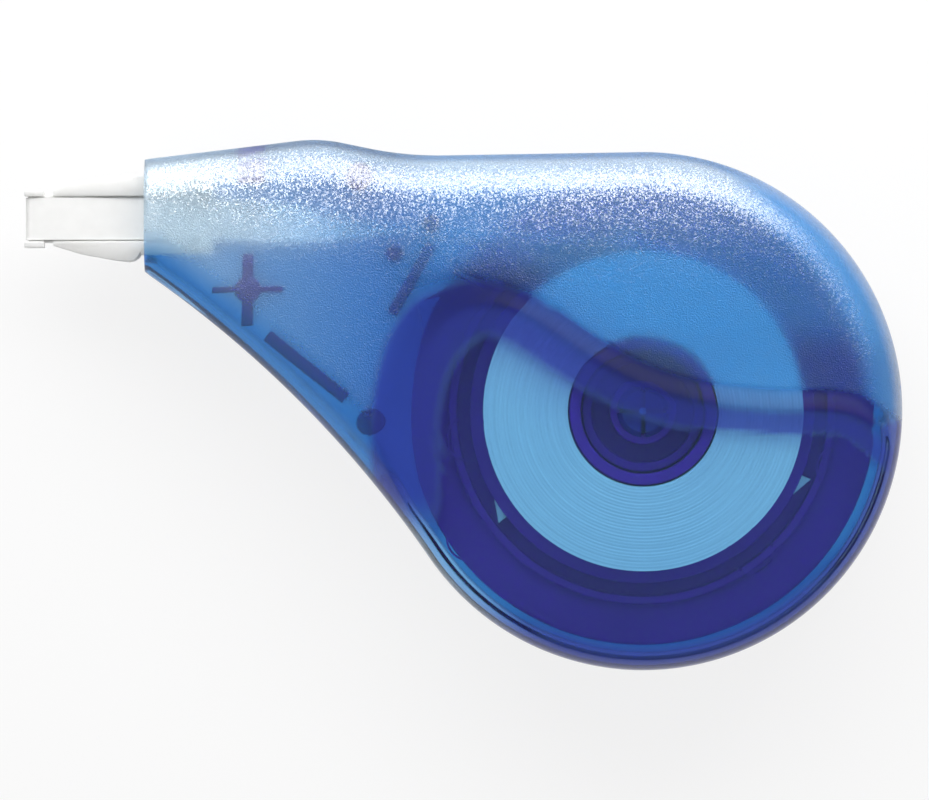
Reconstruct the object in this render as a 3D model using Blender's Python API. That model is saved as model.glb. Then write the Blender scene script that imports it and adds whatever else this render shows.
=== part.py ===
"""Side-pull correction tape dispenser: two-part case, applicator tip and two reels on one axle.

The part lies on its flat back. +Z is the reel axle, +X runs from the tip to the round end of the case,
and the origin is where the axle meets the resting face.
"""
import math

import bmesh
import bpy
from mathutils import Vector

MM = 0.001

# Tape
TAPE_WIDTH = 4.2 * MM
TAPE_THICKNESS = 0.06 * MM
ROLL_RADIUS = 15.9 * MM
SPENT_DEPTH = 0.5 * MM
WINDING_TURNS = 7
WINDING_DEPTH = 0.07 * MM

# Clearances
RUNNING_GAP = 0.15 * MM
SEAT_GAP = 0.3 * MM
TAPE_GAP = 0.15 * MM
TAPE_SIDE_GAP = 0.2 * MM
PARTING_GAP = 0.2 * MM
EMBED = 0.2 * MM

# Reels
AXLE_RADIUS = 2.1 * MM
HUB_WALL = 1.05 * MM
HUB_DROP = 0.8 * MM
FLANGE = 0.7 * MM
CORE_OUTER = 7.35 * MM
CORE_WALL = 1.15 * MM
SPIGOT_WALL = 0.9 * MM
SPIGOT_HEIGHT = 2.2 * MM
FLANGE_OVER_ROLL = 1.3 * MM
DRUM_OVER_FLANGE = 1.3 * MM
DRUM_WALL = 0.8 * MM
DRUM_STEP = 0.35 * MM
TAKE_UP_RIM = 4.1 * MM
CLUTCH = 0.7 * MM
CLUTCH_RING = 2.15 * MM
CLUTCH_ARM_WIDTH = 1.1 * MM
CLUTCH_ARMS = 3
CLUTCH_TIP_ANGLE = 98
CLUTCH_SWEEP = 150
LUG_RADIUS = 0.5 * MM

# Case
WALL = 1.2 * MM
CHAMBER_GAP = 1.2 * MM
REEL_LIFT = 0.5 * MM
WINDOW_GAP = 0.6 * MM
WINDOW_DROP = 1.5 * MM
FRONT_FILLET = 4.5 * MM
BACK_FILLET = 3.0 * MM
NECK_LENGTH = 23.8 * MM
NECK_DROP = 6.6 * MM
MOUTH_ABOVE = 5.9 * MM
MOUTH_BELOW = 5.4 * MM
MOUTH_SQUEEZE = 0.7
MOUTH_ROUND = 0.5 * MM
TAPER_LENGTH = 29.6 * MM
UNDERSIDE_RADIUS = 111.0 * MM
CREST_FROM_MOUTH = 17.4 * MM
CREST_RISE = 1.4 * MM
CREST_RADIUS = 14.0 * MM
VALLEY_FROM_CREST = 8.6 * MM
VALLEY_DROP = 0.4 * MM
VALLEY_RADIUS = 34.0 * MM
WINDOW_RIM = 1.1 * MM

# Step between the raised grip and the window, as shares of the window radius, with its own run
STEP_RUN = 2.0 * MM
STEP_SOFT_RUN = 3.0 * MM
STEP_LINE = (
    (1.12, -0.27), (0.95, -0.10), (0.80, -0.01), (0.50, 0.0), (0.22, 0.035), (0.0, 0.10),
    (-0.22, 0.212), (-0.47, 0.375), (-0.62, 0.42), (-0.76, 0.38), (-0.88, 0.24), (-0.94, 0.0),
    (-0.94, -0.25), (-0.94, -0.50), (-0.97, -0.78),
)
STEP_CRISP = (2, 7)

# Posts and ribs in the neck
GUIDE_RADIUS = 0.9 * MM
SUPPLY_GUIDE_ANGLE = 138.5
SUPPLY_GUIDE_OFFSET = 4.65 * MM
RETURN_GUIDE_ANGLE = 147.7
RETURN_GUIDE_OFFSET = 5.8 * MM
DOWEL_RADIUS = 0.65 * MM
SOCKET_WALL = 0.5 * MM
TOP_DOWEL_FROM_MOUTH = 21.4 * MM
TOP_DOWEL_DROP = 2.7 * MM
LOW_DOWEL_FROM_MOUTH = 22.6 * MM
LOW_DOWEL_INSET = 3.9 * MM
NECK_DOWEL_FROM_MOUTH = 10.4 * MM
NECK_DOWEL_DROP = 7.1 * MM
CROSS_RIB = 7.0 * MM
RIB = 1.1 * MM
BAR_LENGTH = 8.0 * MM
BAR_OFFSET = 3.0 * MM
BAR_ANGLE = 150.3
LOW_RIB_FROM_MOUTH = (12.4 * MM, 20.2 * MM)
LOW_RIB_INSET = (2.8 * MM, 3.7 * MM)
SNAP_FROM_MOUTH = 10.7 * MM
SNAP_WIDTH = 2.7 * MM
SNAP_DEPTH = 2.6 * MM
SNAP_REACH = 2.2 * MM
SNAP_TONGUE = 0.9 * MM
SNAP_BARB = 0.3 * MM
SNAP_CATCH = 0.8 * MM
EJECTOR_RADIUS = 2.2 * MM
EJECTOR_DEPTH = 0.15 * MM
EJECTORS = ((-0.70, -0.11), (-0.70, -0.51), (0.43, -0.56), (0.785, -0.23))
GRIP_EJECTORS = ((0.765, 0.30), (-0.665, 0.58))

# Applicator tip
TIP_REACH = 12.1 * MM
TIP_ROOT = 6.9 * MM
WEB_HALF = 2.3 * MM
NOSE_RADIUS = 0.4 * MM
CHEEK_HALF = 2.9 * MM
CHEEK_STAND = 0.6 * MM
CHEEK_FLARE = 0.7 * MM
CHEEK_TOE_HALF = 0.8 * MM
TOE_LENGTH = 1.95 * MM
TOE_WIDTH = 0.65 * MM
NOTCH = 0.95 * MM
HEEL_LENGTH = 1.5 * MM
HEEL_HALF = 3.7 * MM
STOP_RIB = 1.0 * MM

# Facets
TAPER_FACETS = 8
ARC_STEP = 6.0
LATHE_STEPS = 60
POST_STEPS = 20
TAPE_STEPS = 14

# Levels up the axle
FLOOR = WALL
TAKE_UP_BOTTOM = FLOOR + REEL_LIFT
TAKE_UP_TRAY = TAKE_UP_BOTTOM + FLANGE
SPENT_LOW = TAKE_UP_TRAY + TAPE_SIDE_GAP
SEPARATOR = TAKE_UP_TRAY + TAPE_WIDTH + 2 * TAPE_SIDE_GAP
SEPARATOR_TOP = SEPARATOR + FLANGE
CLUTCH_LOW = SEPARATOR_TOP + SEAT_GAP
CLUTCH_TOP = CLUTCH_LOW + CLUTCH
SUPPLY_LOW = CLUTCH_TOP + SEAT_GAP
SUPPLY_TRAY = SUPPLY_LOW + FLANGE
ROLL_LOW = SUPPLY_TRAY + TAPE_SIDE_GAP
ROLL_TOP = ROLL_LOW + TAPE_WIDTH
HUB_TOP = ROLL_TOP - HUB_DROP
CEILING = ROLL_TOP + WINDOW_GAP
WINDOW = CEILING + WALL
TOP = WINDOW + WINDOW_DROP
MIDDLE = TOP / 2

# Radii out from the axle
BORE = AXLE_RADIUS + RUNNING_GAP
HUB_RADIUS = BORE + HUB_WALL
SUPPLY_RADIUS = ROLL_RADIUS + FLANGE_OVER_ROLL
DRUM_INNER = SUPPLY_RADIUS + DRUM_OVER_FLANGE
DRUM_RADIUS = DRUM_INNER + DRUM_WALL
SPENT_RADIUS = DRUM_RADIUS + RUNNING_GAP + SPENT_DEPTH
TAKE_UP_RADIUS = DRUM_RADIUS + TAKE_UP_RIM
BULB_RADIUS = TAKE_UP_RADIUS + CHAMBER_GAP + WALL
CORE_INNER = CORE_OUTER - CORE_WALL
WINDOW_RADIUS = BULB_RADIUS - WINDOW_RIM

# Places along the neck
MOUTH = -BULB_RADIUS - NECK_LENGTH
NECK_RISE = BULB_RADIUS - NECK_DROP
TAPER_START = MOUTH + TAPER_LENGTH
CREST_AT = MOUTH + CREST_FROM_MOUTH
VALLEY_AT = CREST_AT + VALLEY_FROM_CREST
SNAP_AT = MOUTH + SNAP_FROM_MOUTH
CHANNEL_HALF = TAPE_WIDTH / 2 + TAPE_GAP
ROOT_END = MOUTH + TIP_ROOT
TIP_END = MOUTH - TIP_REACH


def clear_scene():
    """Start from an empty file."""
    for thing in list(bpy.data.objects):
        bpy.data.objects.remove(thing, do_unlink=True)


def plastic(name, colour, roughness=0.35, transmission=0.0):
    """One Principled material."""
    material = bpy.data.materials.new(name)
    material.use_nodes = True
    shader = material.node_tree.nodes["Principled BSDF"]
    shader.inputs["Base Color"].default_value = (*colour, 1.0)
    shader.inputs["Roughness"].default_value = roughness
    shader.inputs["Transmission Weight"].default_value = transmission
    shader.inputs["IOR"].default_value = 1.5
    return material


def finish_mesh(name, bm, material=None):
    """Turn a bmesh into an object with its faces outward; without a material it is a hidden cutter."""
    bmesh.ops.recalc_face_normals(bm, faces=bm.faces)
    if bm.calc_volume(signed=True) < 0:
        bmesh.ops.reverse_faces(bm, faces=bm.faces)
    mesh = bpy.data.meshes.new(name)
    bm.to_mesh(mesh)
    bm.free()
    thing = bpy.data.objects.new(name, mesh)
    bpy.context.collection.objects.link(thing)
    if material is None:
        thing.hide_render = True
        thing.display_type = "WIRE"
    else:
        mesh.materials.append(material)
    return thing


def combine(target, tool, operation):
    """Join, cut or intersect the target with a hidden tool."""
    step = target.modifiers.new(tool.name, "BOOLEAN")
    step.operation = operation
    step.object = tool
    step.solver = "EXACT"


def bridge(bm, lower, upper):
    """Quads between two rings of the same length."""
    for i in range(len(lower)):
        j = (i + 1) % len(lower)
        bm.faces.new((lower[i], lower[j], upper[j], upper[i]))


def loft(rings):
    """Closed body through rings of points, with a flat face at each end."""
    bm = bmesh.new()
    rows = [[bm.verts.new(point) for point in ring] for ring in rings]
    for lower, upper in zip(rows, rows[1:]):
        bridge(bm, lower, upper)
    bm.faces.new(rows[0])
    bm.faces.new(rows[-1])
    return bm


def prism(outline, low, high):
    """Flat outline carried from one level to another."""
    return loft([[(p[0], p[1], z) for p in outline] for z in (low, high)])


def lathe(profile, steps=LATHE_STEPS):
    """Closed (radius, level) profile turned about the axle."""
    bm = bmesh.new()
    rows = []
    for i in range(steps):
        angle = math.tau * i / steps
        rows.append([bm.verts.new((r * math.cos(angle), r * math.sin(angle), z)) for r, z in profile])
    for i in range(steps):
        bridge(bm, rows[i], rows[(i + 1) % steps])
    return bm


def circle(centre, radius, steps=POST_STEPS):
    """Points round a circle."""
    turns = [math.tau * (i + 0.5) / steps for i in range(steps)]
    return [Vector((centre[0] + radius * math.cos(t), centre[1] + radius * math.sin(t))) for t in turns]


def arc(centre, radius, start, end, step=ARC_STEP):
    """Points along an arc between two angles in degrees, ends included."""
    count = max(2, math.ceil(abs(end - start) / step))
    points = []
    for i in range(count + 1):
        angle = math.radians(start + (end - start) * i / count)
        points.append(Vector((centre[0] + radius * math.cos(angle), centre[1] + radius * math.sin(angle))))
    return points


def rounded_corner(before, corner, after, radius, count=5):
    """Arc that rounds the corner between two straight runs."""
    back = (before - corner).normalized()
    ahead = (after - corner).normalized()
    half = back.angle(ahead) / 2
    centre = corner + (back + ahead).normalized() * radius / math.sin(half)
    first = corner + back * radius / math.tan(half) - centre
    last = corner + ahead * radius / math.tan(half) - centre
    turn = first.angle_signed(last)
    points = []
    for i in range(count + 1):
        angle = -turn * i / count
        points.append(centre + Vector((first.x * math.cos(angle) - first.y * math.sin(angle),
                                       first.x * math.sin(angle) + first.y * math.cos(angle))))
    return points


def smooth_line(points, pieces=5):
    """Curve through every given point."""
    line = []
    for i in range(1, len(points) - 2):
        a, b, c, d = points[i - 1:i + 3]
        for j in range(pieces):
            t = j / pieces
            line.append(0.5 * (2 * b + (c - a) * t + (2 * a - 5 * b + 4 * c - d) * t ** 2
                               + (3 * b - a - 3 * c + d) * t ** 3))
    line.append(points[-2])
    return line


def inset(outline, distance):
    """Closed outline moved inward, to the left of its own direction."""
    moved = []
    count = len(outline)
    for i in range(count):
        ahead = (outline[(i + 1) % count] - outline[i]).normalized()
        behind = (outline[i] - outline[i - 1]).normalized()
        left = Vector((-ahead.y - behind.y, ahead.x + behind.x)).normalized()
        moved.append(outline[i] + left * distance / left.dot(Vector((-ahead.y, ahead.x))))
    return moved


def underside_centre():
    """Centre of the hollow arc from the mouth's lower corner to a tangent with the bulb."""
    corner = Vector((MOUTH, NECK_RISE - MOUTH_BELOW))
    reach = BULB_RADIUS + UNDERSIDE_RADIUS
    along = (reach ** 2 - UNDERSIDE_RADIUS ** 2 + corner.length_squared) / (2 * corner.length)
    unit = corner.normalized()
    return unit * along + Vector((-unit.y, unit.x)) * math.sqrt(reach ** 2 - along ** 2)


def underside_point(x, depth):
    """Point over the underside at a given x, this deep inside the case."""
    centre = underside_centre()
    reach = UNDERSIDE_RADIUS + depth
    return Vector((x, centre.y + math.sqrt(reach ** 2 - (x - centre.x) ** 2)))


def case_outline():
    """Outline of the case in plan, run on past the mouth so that the mouth can be cut flat."""
    past = 7 * MM
    crown = Vector((0, BULB_RADIUS))
    crest = Vector((CREST_AT, BULB_RADIUS + CREST_RISE))
    valley = Vector((VALLEY_AT, BULB_RADIUS - VALLEY_DROP))
    mouth_top = Vector((MOUTH, NECK_RISE + MOUTH_ABOVE))
    far_top = mouth_top + (mouth_top - crest).normalized() * past
    low_start = underside_point(MOUTH - 1 * MM, 0)
    far_low = Vector((far_top.x, low_start.y))
    centre = underside_centre()
    leave = math.degrees(math.atan2(low_start.y - centre.y, low_start.x - centre.x))
    touch = math.degrees(math.atan2(-centre.y, -centre.x))
    points = rounded_corner(crown, valley, crest, VALLEY_RADIUS)
    points += rounded_corner(valley, crest, mouth_top, CREST_RADIUS)
    points += [far_top, far_low]
    points += arc(centre, UNDERSIDE_RADIUS, leave, touch, 2.0)
    return points + arc((0, 0), BULB_RADIUS, touch + 180, 450)[1:]


def squeeze(x):
    """Share of the full thickness at a place along the neck, straight between the taper's facets."""
    place = min(max((TAPER_START - x) / TAPER_LENGTH, 0), 1) * TAPER_FACETS
    facet = min(int(place), TAPER_FACETS - 1)
    eased = [t * t * (3 - 2 * t) for t in (facet / TAPER_FACETS, (facet + 1) / TAPER_FACETS)]
    return 1 - (1 - MOUTH_SQUEEZE) * (eased[0] + (eased[1] - eased[0]) * (place - facet))


def skin_half(x, depth=0.0):
    """Half thickness of the case at x, less a depth."""
    return MIDDLE * squeeze(x) - depth


def slab(outline, start, up, fillet, depth, open_mouth):
    """Half of the case or of its cavity: straight sides from the parting, rounded over to a flat face."""
    reach = MIDDLE - depth
    soft = fillet - depth
    rings = [(depth, start), (depth, reach - soft)]
    for i in range(1, 7):
        angle = math.radians(15 * i)
        rings.append((depth + soft * (1 - math.cos(angle)), reach - soft + soft * math.sin(angle)))
    bm = loft([[(p.x, p.y, z) for p in inset(outline, d)] for d, z in rings])
    for i in range(TAPER_FACETS + 1):
        place = TAPER_START - TAPER_LENGTH * i / TAPER_FACETS
        geometry = list(bm.verts) + list(bm.edges) + list(bm.faces)
        bmesh.ops.bisect_plane(bm, geom=geometry, dist=1e-7, plane_co=(place, 0, 0), plane_no=(1, 0, 0))
    if not open_mouth:
        geometry = list(bm.verts) + list(bm.edges) + list(bm.faces)
        cut = bmesh.ops.bisect_plane(bm, geom=geometry, dist=1e-7, plane_co=(MOUTH, 0, 0),
                                     plane_no=(-1, 0, 0), clear_outer=True)
        rim = [e for e in cut["geom_cut"] if isinstance(e, bmesh.types.BMEdge)]
        bmesh.ops.contextual_create(bm, geom=rim)
        lip = [e for e in rim if max(v.co.z for v in e.verts) > start + 1e-6]
        bmesh.ops.bevel(bm, geom=lip, offset=MOUTH_ROUND, segments=2, affect="EDGES", profile=0.5)
    for v in bm.verts:
        share = skin_half(v.co.x, depth) / reach
        v.co.z = MIDDLE + up * (v.co.z * share if v.co.z > start + 1e-6 else start)
    bm.normal_update()
    bmesh.ops.triangulate(bm, faces=[f for f in bm.faces if len(f.verts) == 4])
    return bm


def step_cutter(name, level, spread):
    """Body that sinks the window below the grip, with a sloping side along the step line."""
    points = smooth_line([Vector(p) * WINDOW_RADIUS for p in STEP_LINE])
    pieces = 5
    low, high = [], []
    lift = WINDOW_DROP + 1 * MM + WALL
    for i, point in enumerate(points):
        ahead = points[min(i + 1, len(points) - 1)] - points[max(i - 1, 0)]
        side = Vector((ahead.y, -ahead.x)).normalized()
        place = 1 + i / pieces
        away = max(STEP_CRISP[0] - place, place - STEP_CRISP[1], 0)
        run = STEP_RUN + (STEP_SOFT_RUN - STEP_RUN) * min(away / 2, 1)
        start = point + side * spread
        end = start + side * run * lift / WINDOW_DROP
        low.append((start.x, start.y, level))
        high.append((end.x, end.y, level + lift))
    far = 2 * BULB_RADIUS
    for x, y in ((-far, -far), (far, -far)):
        low.append((x, y, level))
        high.append((x, y, level + lift))
    return finish_mesh(name, loft([low, high]))


def box(low, high):
    """Straight block between two corners."""
    corners = ((low[0], low[1]), (high[0], low[1]), (high[0], high[1]), (low[0], high[1]))
    return prism([Vector(p) for p in corners], low[2], high[2])


def rib_outline(start, end, width):
    """Plan of a straight rib."""
    along = (end - start).normalized()
    side = Vector((-along.y, along.x)) * width / 2
    return [start - side, end - side, end + side, start + side]


def join_post(target, name, outline, low, high, within=None):
    """Add a straight post or rib, trimmed to a body such as the middle of the shell's skin."""
    post = finish_mesh(name, prism(outline, low, high))
    if within is not None:
        combine(post, within, "INTERSECT")
    combine(target, post, "UNION")


def drill(target, name, centre, radius, low, high):
    """Cut a round hole."""
    combine(target, finish_mesh(name, prism(circle(centre, radius), low, high)), "DIFFERENCE")


def ceiling_at(x):
    """Level of the grip's inner face at x."""
    return MIDDLE + skin_half(x, WALL)


def floor_at(x):
    """Level of the back wall's inner face at x."""
    return MIDDLE - skin_half(x, WALL)


def polar(radius, degrees):
    """Point at a radius and an angle about the axle."""
    return Vector((radius * math.cos(math.radians(degrees)), radius * math.sin(math.radians(degrees))))


def dowels():
    """Centres of the three dowels that line up the halves of the case."""
    return {
        "top": Vector((MOUTH + TOP_DOWEL_FROM_MOUTH, BULB_RADIUS - TOP_DOWEL_DROP)),
        "low": underside_point(MOUTH + LOW_DOWEL_FROM_MOUTH, LOW_DOWEL_INSET),
        "neck": Vector((MOUTH + NECK_DOWEL_FROM_MOUTH, NECK_RISE - NECK_DOWEL_DROP)),
    }


def guides():
    """Centres of the two posts that guide the tape off the roll and back to the drum."""
    return {
        "supply_guide": polar(TAKE_UP_RADIUS + SUPPLY_GUIDE_OFFSET, SUPPLY_GUIDE_ANGLE),
        "return_guide": polar(TAKE_UP_RADIUS + RETURN_GUIDE_OFFSET, RETURN_GUIDE_ANGLE),
    }


def cheek_reach():
    """How far the tip's cheeks reach below and above its middle inside the mouth."""
    return MOUTH_BELOW - 1.25 * WALL - SEAT_GAP, MOUTH_ABOVE - WALL - 1.5 * SEAT_GAP


def stop_plans():
    """Plans of the ribs that keep the tip's heel inside the case."""
    below, above = cheek_reach()
    right = ROOT_END - HEEL_LENGTH - SEAT_GAP
    left = right - STOP_RIB
    plans = {}
    for name, low, high in (("lower", -below, -CHANNEL_HALF), ("upper", CHANNEL_HALF, above)):
        corners = ((left, low), (right, low), (right, high), (left, high))
        plans[name] = [Vector((x, NECK_RISE + y)) for x, y in corners]
    return plans


def snap_wall():
    """Height of the top wall's inner face at the snap."""
    crest = Vector((CREST_AT, BULB_RADIUS + CREST_RISE))
    mouth_top = Vector((MOUTH, NECK_RISE + MOUTH_ABOVE))
    share = (SNAP_AT - crest.x) / (mouth_top.x - crest.x)
    return crest.y + (mouth_top.y - crest.y) * share - WALL


def build_front_shell(material):
    """Front half: frosted grip, sunken window, sockets, ribs and the snap tongue."""
    outline = case_outline()
    shell = finish_mesh("front_shell", slab(outline, PARTING_GAP / 2, 1, FRONT_FILLET, 0, False), material)
    cavity = finish_mesh("front_cavity", slab(outline, -1 * MM, 1, FRONT_FILLET, WALL, True))
    slope = math.atan2(WINDOW_DROP, STEP_RUN)
    combine(shell, step_cutter("window_step", WINDOW, 0), "DIFFERENCE")
    combine(cavity, step_cutter("window_step_inside", CEILING, WALL * math.tan(slope / 2)), "DIFFERENCE")
    combine(shell, cavity, "DIFFERENCE")

    low = MIDDLE + PARTING_GAP / 2
    skin = finish_mesh("front_skin", slab(outline, -4 * MM, 1, FRONT_FILLET, WALL / 2, True))
    half_step = step_cutter("window_step_skin", WINDOW - WALL / 2, WALL / 2 * math.tan(slope / 2))
    combine(skin, half_step, "DIFFERENCE")
    for name, centre in dowels().items():
        outer = DOWEL_RADIUS + RUNNING_GAP + SOCKET_WALL
        join_post(shell, f"{name}_socket", circle(centre, outer), low, TOP, skin)
    centre = dowels()["neck"]
    for name, across in (("along", Vector((CROSS_RIB / 2, 0))), ("across", Vector((0, CROSS_RIB / 2)))):
        plan = rib_outline(centre - across, centre + across, RIB)
        join_post(shell, f"neck_rib_{name}", plan, low + 1 * MM, TOP, skin)
    middle = polar(TAKE_UP_RADIUS + BAR_OFFSET, BAR_ANGLE)
    along = polar(BAR_LENGTH / 2, BAR_ANGLE + 90)
    join_post(shell, "chamber_bar", rib_outline(middle - along, middle + along, RIB), low, TOP, skin)
    ends = [underside_point(MOUTH + x, depth) for x, depth in zip(LOW_RIB_FROM_MOUTH, LOW_RIB_INSET)]
    join_post(shell, "lower_rib", rib_outline(ends[0], ends[1], RIB), low, TOP, skin)
    for name, plan in stop_plans().items():
        join_post(shell, f"{name}_front_stop", plan, MIDDLE + CHEEK_HALF + SEAT_GAP, TOP, skin)
    for name, centre in dowels().items():
        drill(shell, f"{name}_socket_hole", centre, DOWEL_RADIUS + RUNNING_GAP, low - 1 * MM,
              ceiling_at(centre.x) - WALL)

    wall = snap_wall()
    left, right = SNAP_AT - SNAP_WIDTH / 2, SNAP_AT + SNAP_WIDTH / 2
    root = low + 3 * MM
    face = wall - SEAT_GAP
    block = [Vector(p) for p in ((left, wall - SNAP_DEPTH), (right, wall - SNAP_DEPTH), (right, wall + WALL),
                                 (left, wall + WALL))]
    join_post(shell, "snap_block", block, low + 1 * MM, root, skin)
    tongue = box((left, face - SNAP_TONGUE, MIDDLE - SNAP_REACH), (right, face, root - EMBED))
    combine(shell, finish_mesh("snap_tongue", tongue), "UNION")
    barb = box((left, face - EMBED, MIDDLE - SNAP_REACH),
               (right, wall + SNAP_BARB, MIDDLE - SNAP_REACH + SNAP_CATCH))
    combine(shell, finish_mesh("snap_barb", barb), "UNION")

    for name, places in (("window", EJECTORS), ("grip", GRIP_EJECTORS)):
        for i, place in enumerate(places):
            centre = Vector(place) * WINDOW_RADIUS
            level = CEILING if name == "window" else ceiling_at(centre.x)
            drill(shell, f"{name}_ejector_{i}", centre, EJECTOR_RADIUS, level - 0.5 * MM,
                  level + EJECTOR_DEPTH)
    return shell


def build_back_shell(material):
    """Back half: flat to rest on, axle with snap prongs, dowels, tape guides and the snap pocket."""
    outline = case_outline()
    shell = finish_mesh("back_shell", slab(outline, PARTING_GAP / 2, -1, BACK_FILLET, 0, False), material)
    cavity = finish_mesh("back_cavity", slab(outline, -1 * MM, -1, BACK_FILLET, WALL, True))
    combine(shell, cavity, "DIFFERENCE")

    barb = HUB_TOP + RUNNING_GAP
    seat = TAKE_UP_BOTTOM - RUNNING_GAP
    axle = lathe([(0.35 * MM, FLOOR - EMBED), (HUB_RADIUS, FLOOR - EMBED), (HUB_RADIUS, seat),
                  (AXLE_RADIUS, seat), (AXLE_RADIUS, barb), (AXLE_RADIUS + 0.55 * MM, barb),
                  (AXLE_RADIUS, barb + 0.7 * MM), (0.35 * MM, barb + 0.7 * MM)], 32)
    combine(shell, finish_mesh("axle", axle), "UNION")
    wide = AXLE_RADIUS + 1 * MM
    slot = 0.35 * MM
    for name, x, y in (("slot_x", wide, slot), ("slot_y", slot, wide)):
        cut = box((-x, -y, SUPPLY_TRAY + 1 * MM), (x, y, barb + 2 * MM))
        combine(shell, finish_mesh(name, cut), "DIFFERENCE")

    skin = finish_mesh("back_skin", slab(outline, -TOP, -1, BACK_FILLET, WALL / 2, True))
    for name, centre in guides().items():
        join_post(shell, name, circle(centre, GUIDE_RADIUS), 0, ceiling_at(centre.x) - 3 * SEAT_GAP, skin)
    for name, plan in stop_plans().items():
        join_post(shell, f"{name}_back_stop", plan, 0, MIDDLE - CHEEK_HALF - SEAT_GAP, skin)
    for name, centre in dowels().items():
        join_post(shell, f"{name}_dowel", circle(centre, DOWEL_RADIUS), 0,
                  ceiling_at(centre.x) - WALL - SEAT_GAP, skin)
        join_post(shell, f"{name}_dowel_foot", circle(centre, DOWEL_RADIUS + SOCKET_WALL), 0,
                  floor_at(centre.x) + WALL, skin)

    wall = snap_wall()
    left, right = SNAP_AT - SNAP_WIDTH / 2 - SEAT_GAP, SNAP_AT + SNAP_WIDTH / 2 + SEAT_GAP
    low = MIDDLE - SNAP_REACH
    pocket = box((left, wall - 1 * MM, low - SEAT_GAP),
                 (right, wall + SNAP_BARB + SEAT_GAP, low + SNAP_CATCH + SEAT_GAP))
    combine(shell, finish_mesh("snap_pocket", pocket), "DIFFERENCE")
    return shell


def build_tip(material):
    """Applicator tip: a wedge web for the tape between two flared cheeks, with a heel inside the case."""
    nose = Vector((TIP_END + NOSE_RADIUS + 2 * TAPE_GAP, 0))
    shoulder = MOUTH - 0.4 * MM
    profile = [Vector((ROOT_END, -WEB_HALF)), Vector((ROOT_END, WEB_HALF)), Vector((shoulder, WEB_HALF))]
    profile += arc(nose, NOSE_RADIUS, 90, 270, 30)
    profile += [Vector((shoulder, -WEB_HALF))]
    half = CHANNEL_HALF + 0.15 * MM
    web = loft([[(p.x, NECK_RISE + side * half, MIDDLE + p.y) for p in profile] for side in (-1, 1)])
    tip = finish_mesh("applicator_tip", web, material)

    toe_end = TIP_END + TOE_LENGTH
    cheek_end = toe_end + NOTCH
    c = CHANNEL_HALF
    below, above = cheek_reach()
    flare = below + CHEEK_FLARE
    bow = arc((MOUTH - 1.7 * MM, -flare + 1.3 * MM), 1.3 * MM, 270, 345, 25)
    lower = [(ROOT_END, -c), (cheek_end, -c), (cheek_end, -c - 0.45 * MM),
             (MOUTH - 6.6 * MM, -flare + 0.8 * MM), (MOUTH - 3.3 * MM, -flare + 0.2 * MM)]
    lower += [(p.x, p.y) for p in bow] + [(shoulder, -below), (ROOT_END, -below)]
    upper = [(ROOT_END, c), (ROOT_END, above), (MOUTH - 3.3 * MM, above), (MOUTH - 5 * MM, above - 0.3 * MM),
             (MOUTH - 8.2 * MM, above - 0.8 * MM), (cheek_end, c + 0.5 * MM), (cheek_end, c)]
    flank = [(ROOT_END, HEEL_HALF), (ROOT_END - HEEL_LENGTH, HEEL_HALF), (ROOT_END - HEEL_LENGTH, CHEEK_HALF),
             (shoulder, CHEEK_HALF), (cheek_end, NOSE_RADIUS + CHEEK_STAND),
             (TIP_END - 1 * MM, CHEEK_TOE_HALF)]
    side_view = flank + [(x, -z) for x, z in reversed(flank)]
    plans = {"lower_cheek": lower, "upper_cheek": upper}
    for name, sign in (("lower_toe", -1), ("upper_toe", 1)):
        near, far = sign * c, sign * (c + TOE_WIDTH)
        plans[name] = [(TIP_END, near), (toe_end, near), (toe_end, far), (TIP_END, far)]
    flanks = loft([[(x, NECK_RISE + side * 8 * MM, MIDDLE + z) for x, z in side_view] for side in (-1, 1)])
    flanks = finish_mesh("tip_flanks", flanks)
    for name, plan in plans.items():
        points = [(x, NECK_RISE + y) for x, y in plan]
        cheek = finish_mesh(name, prism(points, MIDDLE - 8 * MM, MIDDLE + 8 * MM))
        combine(cheek, flanks, "INTERSECT")
        combine(tip, cheek, "UNION")
    return tip


def build_supply_reel(material):
    """Hub tube, flange, spigot for the core and three lugs that turn the clutch."""
    spigot_outer = CORE_INNER - RUNNING_GAP
    spigot_inner = spigot_outer - SPIGOT_WALL
    spigot_top = SUPPLY_TRAY + SPIGOT_HEIGHT
    profile = [(BORE, CLUTCH_LOW), (HUB_RADIUS, CLUTCH_LOW), (HUB_RADIUS, SUPPLY_LOW),
               (SUPPLY_RADIUS, SUPPLY_LOW), (SUPPLY_RADIUS, SUPPLY_TRAY), (spigot_outer, SUPPLY_TRAY),
               (spigot_outer, spigot_top), (spigot_inner, spigot_top), (spigot_inner, SUPPLY_TRAY),
               (HUB_RADIUS, SUPPLY_TRAY), (HUB_RADIUS, HUB_TOP), (BORE, HUB_TOP)]
    reel = finish_mesh("supply_reel", lathe(profile), material)
    for i, centre in enumerate(lug_centres()):
        join_post(reel, f"clutch_lug_{i}", circle(centre, LUG_RADIUS, 12), CLUTCH_LOW + RUNNING_GAP,
                  SUPPLY_LOW + EMBED)
    return reel


def lug_centres():
    """Middle of each drive lug, halfway across the clutch ring."""
    radius = HUB_RADIUS + RUNNING_GAP + CLUTCH_RING / 2
    angles = [math.radians(CLUTCH_TIP_ANGLE + 360 * i / CLUTCH_ARMS) for i in range(CLUTCH_ARMS)]
    return [Vector((radius * math.cos(a), radius * math.sin(a))) for a in angles]


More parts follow.
